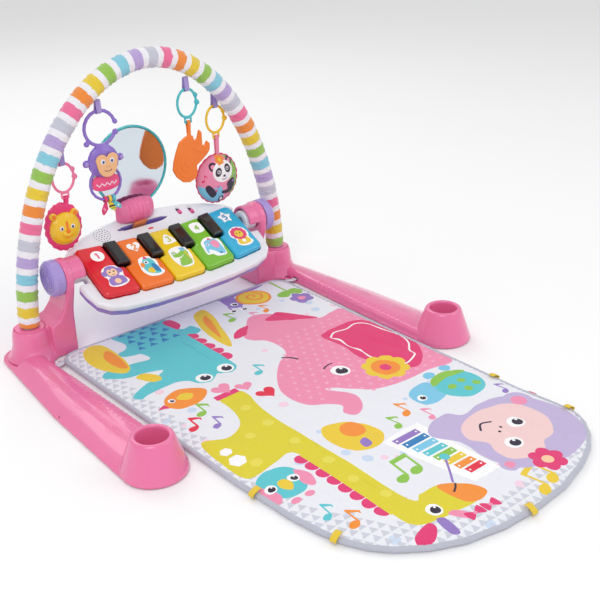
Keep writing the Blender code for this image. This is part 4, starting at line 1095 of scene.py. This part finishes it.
def teether_ridges(piece):
    """Raised swirls and short ridges to gum on, moulded on the teether's front."""
    spot, high = front_finder(piece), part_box("teether")[1]
    x, z = TEETHER_X, high[2] - 0.0036
    lines = (
        [(-28, -52), (-33, -66), (-33, -82), (-24, -96), (-10, -102), (2, -97)],
        [(-20, -58), (-25, -70), (-22, -84), (-10, -91), (1, -86)],
        [(-12, -64), (-15, -74), (-8, -81), (-1, -75)],
        [(4, -50), (14, -56), (24, -60), (34, -58)], [(12, -40), (18, -34), (22, -26)])
    for number, line in enumerate(lines):
        path = []
        for p in spline(line, 5, closed=False):
            hit = spot(x + p.x / 1000, z + p.y / 1000)[0]
            if hit is not None:
                path.append(hit + Vector((0, 0.0002, 0)))
        ridge = tube(f"teether_ridge_{number + 1}", path, 0.0010, silicone, "teether_body", 8, False,
                     Vector((0, 1, 0)))


def clip_ribs(clip):
    """Five upright grips moulded on the front of the mirror's clip."""
    spot = front_finder(clip)
    low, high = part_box("mirror_clip")
    middle = (low[0] + high[0]) / 2
    for number in range(5):
        x = middle + 0.0088 * (number - 2)
        path = []
        for k in range(13):
            z = low[2] + (high[2] - low[2]) * (0.30 + 0.52 * k / 12)
            path.append(spot(x + 0.10 * (x - middle) * (k - 6) / 12, z)[0] + Vector((0, 0.0002, 0)))
        radii = [0.0017 * sin(pi * (0.12 + 0.76 * k / 12)) ** 0.5 for k in range(13)]
        rib = tube(f"clip_rib_{number + 1}", path, radii, magenta_plastic, "piano", 10, False,
                   Vector((1, 0, 0)))


def bead(name, centre, normal, size, mat, body, finish):
    """A domed lens: eyes, noses and pips."""
    centre, axis = Vector(centre), Vector(normal).normalized()
    across = axis.orthogonal().normalized()
    other = axis.cross(across)
    if abs(axis.y) > 0.7:
        across, other = Vector((1, 0, 0)), Vector((0, 0, 1))
    verts, faces, rings, sides = [], [], 6, 22
    for k in range(rings):
        a = pi / 2 * k / rings
        for j in range(sides):
            b = tau * j / sides
            flat = across * size[0] * cos(b) + other * size[1] * sin(b)
            verts.append(centre + flat * cos(a) + axis * size[2] * sin(a))
    verts.append(centre + axis * size[2])
    verts.append(centre - axis * size[2] * 0.2)
    for k in range(rings - 1):
        for j in range(sides):
            a, b, nxt = k * sides, (k + 1) * sides, (j + 1) % sides
            faces.append((a + j, a + nxt, b + nxt, b + j))
    last = (rings - 1) * sides
    for j in range(sides):
        nxt = (j + 1) % sides
        faces.append((last + j, last + nxt, rings * sides))
        faces.append((nxt, j, rings * sides + 1))
    obj = clean(mesh_object(name, verts, faces, [mat]))
    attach(obj, body)


def lion():
    """Scalloped, textured mane behind a glossy face."""
    x, y, z = -0.1770, BEHIND_Y, 0.2133
    soften("lion_mane", magenta, "lion", 0.0009, 4)
    verts, steps = [], 120
    rows = [(0.60, 0.0046, 0), (0.74, 0.0058, 0.4), (0.84, 0.0062, 1), (0.93, 0.0056, 1), (0.985, 0.0030, 1),
            (1.0, 0.0, 1), (0.985, -0.0030, 1), (0.93, -0.0056, 1), (0.84, -0.0062, 1), (0.60, -0.0046, 0)]
    for share, depth, ripple in rows:
        for k in range(steps):
            a = tau * k / steps
            wave = abs(sin(a * 9))
            reach = share * (1 - 0.075 * ripple * (1 - wave ** 0.7))
            comb = 1 + 0.18 * cos(a * 36) * ripple
            verts.append((x + 0.0356 * reach * cos(a), y - depth * comb,
                          z + 0.0446 * reach * sin(a)))
    faces = sweep_faces(len(rows), steps, False, caps=False)
    mane = mesh_object("lion_mane_scallops", verts, faces, [magenta])
    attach(mane, "lion")
    face = soften("lion_face", yellow, "lion", 0.0008, 6)
    spot = front_finder(face)
    bead("lion_muzzle", *spot(x, z - 0.0085), (0.0092, 0.0070, 0.0026), yellow, "lion", "yellow_gloss")
    point, _ = spot(x, z - 0.0040)
    bead("lion_nose", point + Vector((0, -0.0016, 0)), (0, -1, 0.3), (0.0042, 0.0034, 0.0024), silicone,
         "lion",
         "orange_silicone")
    bead("lion_brow", *spot(x, z + 0.0060), (0.0022, 0.0085, 0.0008), silicone, "lion",
         "orange_silicone")
    for side in (-1, 1):
        bead(f"lion_eye_white_{side + 2}", *spot(x + side * 0.0105, z + 0.0025), (0.0040, 0.0042, 0.0008),
             white,
             "lion", "white_gloss")
        bead(f"lion_eye_{side + 2}", *spot(x + side * 0.0102, z + 0.0022), (0.0022, 0.0028, 0.0017), black,
             "lion",
             "black_gloss")
        bead(f"lion_ear_{side + 2}", *spot(x + side * 0.0200, z + 0.0240), (0.0040, 0.0040, 0.0008), silicone,
             "lion", "orange_silicone")
    mouth = []
    for k in range(13):
        a = -1.2 + 2.4 * k / 12
        point, _ = spot(x + 0.0062 * sin(a), z - 0.0100 - 0.0036 * cos(a))
        mouth.append(point + Vector((0, -0.0022, 0)))
    tube("lion_mouth", mouth, 0.0006, silicone, "lion", 8)


def front_finder(obj):
    """Finds a piece's front surface point and normal at (x, z)."""
    tree = BVHTree.FromObject(obj, bpy.context.evaluated_depsgraph_get())

    def find(x, z):
        hit, normal, _, _ = tree.ray_cast(Vector((x, -1, z)), Vector((0, 1, 0)))
        if hit is not None and normal.y > 0:
            normal = -normal
        return hit, normal
    return find


def monkey_features(face, body):
    """Eyes, ears, smile and the pink bib over the monkey's arms."""
    x, z = MONKEY_X, 0.3190
    spot, back = front_finder(face), front_finder(body)
    blue = plastic("eye_blue", srgb(70, 90, 150), 0.1)
    for side in (-1, 1):
        bead(f"monkey_eye_white_{side + 2}", *spot(x + side * 0.0088, z + 0.0030), (0.0044, 0.0046, 0.0007),
             white,
             "monkey", "white_gloss")
        point, normal = spot(x + side * 0.0084, z + 0.0028)
        bead(f"monkey_iris_{side + 2}", point, normal, (0.0028, 0.0032, 0.0012), blue, "monkey",
             "black_gloss")
        bead(f"monkey_eye_{side + 2}", point, normal, (0.0016, 0.0018, 0.0016), black, "monkey",
             "black_gloss")
        bead(f"monkey_ear_{side + 2}", *back(x + side * 0.0340, z + 0.001), (0.0038, 0.0040, 0.0012), lilac,
             "monkey", "peach_plastic")
        bead(f"monkey_nostril_{side + 2}", *spot(x + side * 0.0022, z - 0.0065), (0.0008, 0.0008, 0.0004),
             black,
             "monkey", "black_gloss")
    mouth = []
    for k in range(13):
        a = -1.1 + 2.2 * k / 12
        mouth.append(spot(x + 0.0080 * sin(a), z - 0.0092 - 0.0054 * cos(a))[0])
    tube("monkey_mouth", mouth, 0.0006, black, "monkey", 8)
    bib = spline([(-21, -27), (-26, -37), (-24, -47), (-12, -51), (0, -52), (12, -51), (24, -47), (26, -37),
                  (21, -27), (0, -24)], 5)
    zigzag = stroke([(-20 + 5 * k, -40 - (2.5 if k % 2 else -2.5)) for k in range(9)], 2.0, 1)
    flat, faces, picks = painted(bib, [(zigzag, "snow")], 2.5)
    verts = []
    for side in (-1, 1):
        for px, py in flat:
            dome = 0.0042 * max(0.0, 1 - (px / 27) ** 2) ** 0.5 * max(0.05, 1 - ((py + 38) / 16) ** 4) ** 0.5
            verts.append((x + px / 1000, SOCKET_Y + side * (0.0012 + dome), z + py / 1000))
    total = len(flat)
    quads = both_sides(faces, total)
    slots = [1 if p == 0 else 0 for p in picks] * 2
    ring = len(bib)
    for k in range(ring):
        nxt = (k + 1) % ring
        quads.append((nxt, k, total + k, total + nxt))
        slots.append(0)
    obj = mesh_object("monkey_bib", verts, quads, [plastic("bib_pink", srgb(236, 74, 130), 0.3), white],
                      slots)
    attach(obj, "monkey")


def panda():
    """Stuffed printed disc with a scalloped edge."""
    x, y, z, r = 0.1540, BEHIND_Y, 0.2263, 47.0
    shapes = []

    def curve(points, colour, per=5):
        shapes.append((spline(points, per), colour))

    def dot(cx, cy, rx, colour, ry=None):
        shapes.append((circle(cx, cy, rx, ry, 22), colour))

    curve([(-50, -8), (-20, -16), (0, -14), (6, -50), (-40, -52)], "sky")
    curve([(14, 50), (26, 20), (22, -10), (30, -52), (60, -20), (56, 30)], "green")
    dot(-15, 27, 8.5, "dark")
    dot(-15, 27, 4.5, "pink")
    dot(25, 32, 8.5, "dark")
    dot(25, 32, 4.5, "pink")
    dot(7, 15, 24, "snow", 21)
    shapes.append((circle(-4, 15, 7, 9, 22, -0.5), "dark"))
    shapes.append((circle(18, 19, 7, 9, 22, 0.4), "dark"))
    for ex, ey in ((-3, 15), (17, 19)):
        dot(ex, ey, 3.6, "snow")
        dot(ex, ey, 2.4, "dark")
        dot(ex + 0.9, ey + 0.9, 0.8, "snow")
    dot(9, 6, 3.2, "dark", 2.3)
    shapes.append((stroke([(3, 1), (9, -1), (15, 2)], 1.4), "dark"))
    for k in range(6):
        a = tau * k / 6 + 0.2
        dot(3 + 6.5 * cos(a), 38 + 6.5 * sin(a), 4.2, "orange")
    dot(3, 38, 3.4, "yellow")
    curve([(14, -10), (30, -2), (36, -12), (26, -30), (6, -30), (2, -24), (16, -22)], "dark")
    curve([(-28, -6), (-18, -14), (-10, -26), (-18, -34), (-28, -24), (-34, -12)], "dark")
    dot(2, -40, 6.5, "dark")
    dot(2, -40, 3.4, "snow")
    shapes.extend(note(-34, 8, 13, "magenta"))
    shapes.extend(note(34, -4, 12, "purple"))
    shapes.extend(note(-8, -16, 11, "magenta"))
    border = circle(0, 0, r, r, 96)
    flat, faces, picks = painted(border, shapes, 2.6)
    unique, slots = ink_slots("pink", shapes, picks)
    mats = [fabric(f"pillow_{u}", MAT_COLOURS[u], 3200, sheen=0.3) for u in unique]
    verts = []
    for side in (-1, 1):
        for px, py in flat:
            share = min(1, hypot(px, py) / r)
            puff = 0.0142 * (1 - share ** 2.4) ** 0.62
            angle = atan2(py, px)
            puff *= 1 + 0.10 * sin(angle * 22) * share ** 5
            puff += 0.0006 * noise.noise(Vector((px * 0.08, py * 0.08, side)))
            verts.append((x + px / 1000, y + side * max(0, puff), z + py / 1000))
    total = len(flat)
    quads = both_sides(faces, total)
    slots = slots * 2
    obj = clean(mesh_object("panda_looks", verts, quads, mats, slots), weld=0.00005, outwards=False)
    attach(obj, "panda")
    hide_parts("panda_pillow")
    edge = []
    for k in range(240):
        a = tau * k / 240
        reach = 0.0468 + 0.0016 * abs(sin(a * 11))
        edge.append((x + reach * cos(a), y, z + reach * sin(a)))
    trim = tube("panda_trim", edge, 0.0013, fabric("pillow_trim", MAT_COLOURS["magenta"], 3200), "panda", 8,
                True,
                Vector((0, 1, 0)))
    bar = 0.3413 - 0.0258 - 0.0110 + 0.0013
    path = loop_path(x + 0.0040, y, z + 0.0450, bar + 0.0042, 0.0020, 0.0034)
    tab = band("panda_tab", path, (1, 0, 0), 0.0080, 0.0012, fabric("pillow_tab", MAT_COLOURS["pink"], 4200),
               None, True)
    tab.parent = obj


# ---- piano print ----
DIGITS = {
    "1": [[(-1.6, 2.2), (0.4, 3.8), (0.4, -3.8)]],
    "2": [[(-2.2, 2.2), (-0.6, 3.8), (1.8, 3.2), (1.9, 0.9), (-2.2, -3.6)], [(-2.3, -3.6), (2.5, -3.6)]],
    "3": [[(-2.1, 3.2), (0.6, 3.8), (2.0, 2.2), (0.2, 0.3)],
          [(0.2, 0.3), (2.3, -1.4), (0.8, -3.7), (-2.3, -3.0)]],
    "4": [[(1.2, -3.8), (1.2, 3.8)], [(1.2, 3.8), (-2.4, -1.4)], [(-2.4, -1.4), (2.6, -1.4)]],
    "5": [[(2.0, 3.6), (-1.8, 3.6)], [(-1.8, 3.6), (-2.0, 0.6), (0.6, 1.0), (2.1, -1.2), (0.4, -3.7),
                                      (-2.2, -3.0)]]}
LABELS = (
    ("red", -138, 9, "1", "magenta", circle(0, 0, 12.5)),
    ("orange", -65, 5, "2", "orange", heart(0, 1, 26)),
    ("yellow", 4.5, 0, "3", "yolk", spline([(0, 13), (-13, -9), (13, -9)], 8)),
    ("green", 73, 6.5, "4", "green", spline([(-11, 11), (11, 11), (11, -11), (-11, -11)], 8)),
    ("blue", 142.5, 11, "5", "blue", spline([tuple(p) for p in star(0, 0, 15, 0.62)], 3)))


def sticker_shapes(kind):
    """Small animal drawings for the keys, in millimetres about their middles, back to front."""
    out = []

    def curve(points, colour, per=4):
        out.append((spline(points, per), colour))

    def dot(x, y, r, colour, ry=None):
        out.append((circle(x, y, r, ry, 18), colour))

    if kind == "monkey":
        edge = spline([(-20, 8), (-14, 20), (0, 25), (14, 20), (20, 8), (16, -6), (20, -18), (8, -25),
                       (-8, -25),
                       (-19, -18), (-15, -4)], 5)
        dot(-15, 9, 6, "purple")
        dot(15, 9, 6, "purple")
        dot(0, 10, 14, "purple")
        curve([(-12, -3), (12, -3), (16, -18), (6, -22), (-6, -22), (-16, -18)], "purple")
        curve([(-9, 12), (-4, 17), (0, 14), (4, 17), (9, 12), (8, 3), (0, -1), (-8, 3)], "peach")
        dot(0, -13, 6, "peach")
        dot(-4, 10, 1.8, "dark")
        dot(4, 10, 1.8, "dark")
        out.append((stroke([(-3, 4), (0, 2.4), (3, 4)], 1.0), "dark"))
    elif kind == "parrot":
        edge = spline([(-4, 24), (12, 20), (17, 6), (14, -8), (18, -20), (6, -26), (-12, -22), (-20, -8),
                       (-18, 8),
                       (-14, 20)], 5)
        curve([(-4, 19), (8, 16), (12, 4), (9, -10), (12, -20), (0, -20), (-12, -12), (-14, 4)], "teal")
        curve([(4, 4), (12, -2), (12, -18), (2, -12)], "blue")
        curve([(-6, -4), (2, -6), (0, -18), (-10, -12)], "yellow")
        curve([(-13, 12), (-17, 4), (-12, 0), (-8, 8)], "orange")
        dot(-3, 10, 4.2, "snow")
        dot(-3.4, 10, 2.2, "dark")
        curve([(-4, 19), (0, 24), (4, 18)], "magenta")
    elif kind == "crocodile":
        edge = spline([(-16, 22), (2, 26), (17, 20), (20, 4), (16, -14), (8, -25), (-10, -24), (-19, -10),
                       (-20, 8)], 5)
        curve([(-13, -20), (10, -20), (13, -4), (16, 8), (8, 15), (-4, 10), (-14, 12), (-15, 2), (-8, -4)],
              "green")
        dot(-11, 12, 4.6, "green")
        dot(-11, 12, 2.8, "snow")
        dot(-11, 12, 1.5, "dark")
        curve([(-15, 2), (-4, 0), (6, 4), (-6, -3)], "snow")
        curve([(4, 21), (13, 20), (16, 13), (7, 13)], "sky")
        dot(12, 17, 1.1, "dark")
        for k in range(4):
            out.append((poly((12 - k, -14 + 6 * k), (17 - k, -11 + 6 * k), (12 - k, -8 + 6 * k)),
                        "yellow"))
    elif kind == "elephant":
        edge = spline([(-18, 16), (-4, 25), (14, 22), (21, 8), (18, -12), (14, -25), (-4, -24), (-12, -16),
                       (-22, -14), (-21, 2)], 5)
        curve([(-10, 17), (6, 19), (16, 10), (15, -20), (3, -20), (-2, -12), (-12, -4), (-16, -12), (-19, -8),
               (-15, 6)], "sky")
        curve([(0, 12), (11, 14), (15, 4), (9, -6), (1, -1)], "pink")
        dot(-8, 8, 3.2, "snow")
        dot(-8.2, 8, 1.7, "dark")
        curve([(4, -20), (8, -20), (8, -16), (4, -16)], "blue")
        curve([(-2, 19), (2, 23), (6, 18)], "magenta")
    else:
        edge = spline([(-16, 18), (0, 25), (16, 18), (20, 4), (15, -8), (17, -20), (6, -26), (-8, -25),
                       (-17, -18),
                       (-14, -6), (-20, 4)], 5)
        curve([(-9, -4), (9, -4), (12, -20), (-12, -20)], "yellow")
        for k in range(10):
            a = tau * k / 10
            dot(12 * cos(a), 7 + 11 * sin(a), 5.2, "magenta")
        dot(0, 7, 12, "magenta")
        dot(0, 6, 9, "yellow")
        dot(-3.6, 8, 1.5, "dark")
        dot(3.6, 8, 1.5, "dark")
        dot(0, 4.4, 2.0, "orange", 1.4)
        dot(0, -13, 4, "snow")
    return edge, out


def laid_on(top, cx, cv, height):
    """Puts a print's points, or the speaker holes' painted shade, in millimetres about (cx, cv), just over the
    surface that top finds.
    """
    return lambda px, py: top((cx + px) / 1000, (cv + py) / 1000, height)


def build_print():
    inks_and_shade = {k: plastic(f"print_{k}", v, 0.3, 0.2) for k, v in MAT_COLOURS.items()}
    inks_and_shade["yolk"] = plastic("print_yolk", srgb(196, 202, 40), 0.3, 0.2)
    kinds = ("monkey", "parrot", "crocodile", "elephant", "lion")
    spots = ((-134, -43), (-62, -46), (5, -48), (75, -48), (142, -43))
    for (word, cx, cv, digit, ink, outline), kind, (sx, sv) in zip(LABELS, kinds, spots):
        body = f"{word}_key_body"
        top = key_tops(f"key_{word}")
        shapes = [(stroke([tuple(Vector(p) * 1.6) for p in line], 3.1, 4), ink) for line in DIGITS[digit]]
        obj = decal(f"label_{digit}", body, outline, shapes, laid_on(top, cx, cv, KEY_INK), "snow", inks_and_shade, 4.0)
        edge, marks = sticker_shapes(kind)

        obj = decal(f"sticker_{word}", body, edge, marks, laid_on(top, sx, sv, KEY_INK), "snow", inks_and_shade, 4.0)
    shell = key_tops("piano_top_shell")
    pill = [Vector((-3 + 6 * copysign(abs(cos(a)) ** 0.5, cos(a)),
                    44.5 + 2.1 * sin(a))) for a in (tau * k / 32 for k in range(32))]
    obj = decal("plain_pill", "piano", pill, [], laid_on(shell, 0, 0, 0.0002), "red", inks_and_shade, 4.0)
    # painted shade: dark discs on the shell stand in for the speaker holes, whose insides are shaded and show
    # the dark speaker behind
    holes = 0
    for ring, count in ((0, 1), (5.2, 6), (10.4, 12), (15.4, 18)):
        for k in range(count):
            a = tau * k / count + ring
            px, py = -98 + ring * cos(a), 60 + ring * sin(a)
            spot = circle(px, py, 1.05, steps=12)
            obj = decal(f"speaker_hole_shade_{holes + 1}", "piano", spot, [],
                        laid_on(shell, 0, 0, 0.00015), "dark", inks_and_shade, 4.0)
            holes += 1


def key_tops(node):
    """Finds the surface point of a piano node above its own-frame (x, v)."""
    tree = BVHTree.FromObject(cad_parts[node], bpy.context.evaluated_depsgraph_get())
    down = to_world(0, 0, -1) - to_world(0, 0, 0)

    def find(x, v, lift):
        hit, normal, _, _ = tree.ray_cast(to_world(x, v, 0.05), down)
        if hit is None:
            hit = to_world(x, v, 0.0115)
        return hit - down.normalized() * lift
    return find


def soften_piano():
    """Softened stand-ins for the keys and both shells, whose edges are rounded mouldings."""
    for number, (word, colour) in enumerate(KEY_COLOURS.items()):
        soften(f"key_{word}", CACHE[f"key_plastic_{word}"], f"{word}_key_body", 0.0009, 6)
    soften("piano_top_shell", white, "piano", 0.0011, 14)
    soften("piano_bottom_shell", plastic("shell_lilac", srgb(150, 128, 212), 0.24), "piano", 0.0013, 12)
    for k in range(4):
        soften(f"black_key_{k + 1}", black, "piano", 0.0008, 6)


def mirror_face():
    mat, nodes, links, shader = base_material("mirror_face")
    haze = noise_node(nodes, links, 35, 4)
    links.new(ramp_between(nodes, links, haze, 0.02, 0.10), shader.inputs["Roughness"])
    links.new(tinted(nodes, links, haze, srgb(214, 222, 230), 0.02), shader.inputs["Base Color"])
    bump(nodes, links, noise_node(nodes, links, 9, 1), 0.03, 0.003, shader)
    shader.inputs["Metallic"].default_value = 1.0
    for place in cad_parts["mirror_disc"].material_slots:
        place.material = mat


# ---- stage, light and camera ----
def build_stage():
    floor_mat, nodes, links, shader = base_material("studio_floor")
    links.new(tinted(nodes, links, noise_node(nodes, links, 3, 2), (0.95, 0.95, 0.955, 1), 0.01),
              shader.inputs["Base Color"])
    shader.inputs["Roughness"].default_value = 0.9
    verts = [(-30, -30, 0), (30, -30, 0), (30, 30, 0), (-30, 30, 0)]
    floor = mesh_object("floor", verts, [(0, 1, 2, 3)], [floor_mat], smooth=False)
    world = bpy.data.worlds.new("studio")
    bpy.context.scene.world = world
    world.use_nodes = True
    world.node_tree.nodes["Background"].inputs[0].default_value = (1, 1, 1, 1)
    world.node_tree.nodes["Background"].inputs[1].default_value = 0.72
    lamps = (("key_light", (-1.6, -1.4, 2.4), 1.5, 27), ("fill_light", (1.8, -1.6, 1.8), 1.6, 9),
             ("back_light", (0.4, 2.2, 2.2), 1.6, 16))
    for name, spot, size, power in lamps:
        data = bpy.data.lights.new(name, "AREA")
        data.size, data.energy = size, power
        lamp = placed(name, data)
        lamp.location = spot
        lamp.rotation_euler = (Vector((0, 0, 0.1)) - Vector(spot)).to_track_quat("-Z", "Y").to_euler()
    data = bpy.data.cameras.new("camera")
    data.lens, data.sensor_width = 58.77, 36
    camera = placed("camera", data)
    axes = Matrix(((0.75685, 0.28973, -0.58586), (-0.65330, 0.30883, -0.69125), (-0.01935, 0.90591, 0.42302)))
    camera.matrix_world = Matrix.Translation((-0.899, -1.0727, 0.809)) @ axes.to_4x4()
    bpy.context.scene.camera = camera
    bpy.context.scene.view_settings.view_transform = "Standard"


build_stage()
paint_nodes()
build_mouldings()
knob_rings()
build_print()
soften_piano()
mirror_face()
build_sleeve()
build_mat()
build_mat_loops()
build_ribbons()
build_leaves()
build_strap()
build_webbing()
build_toys()
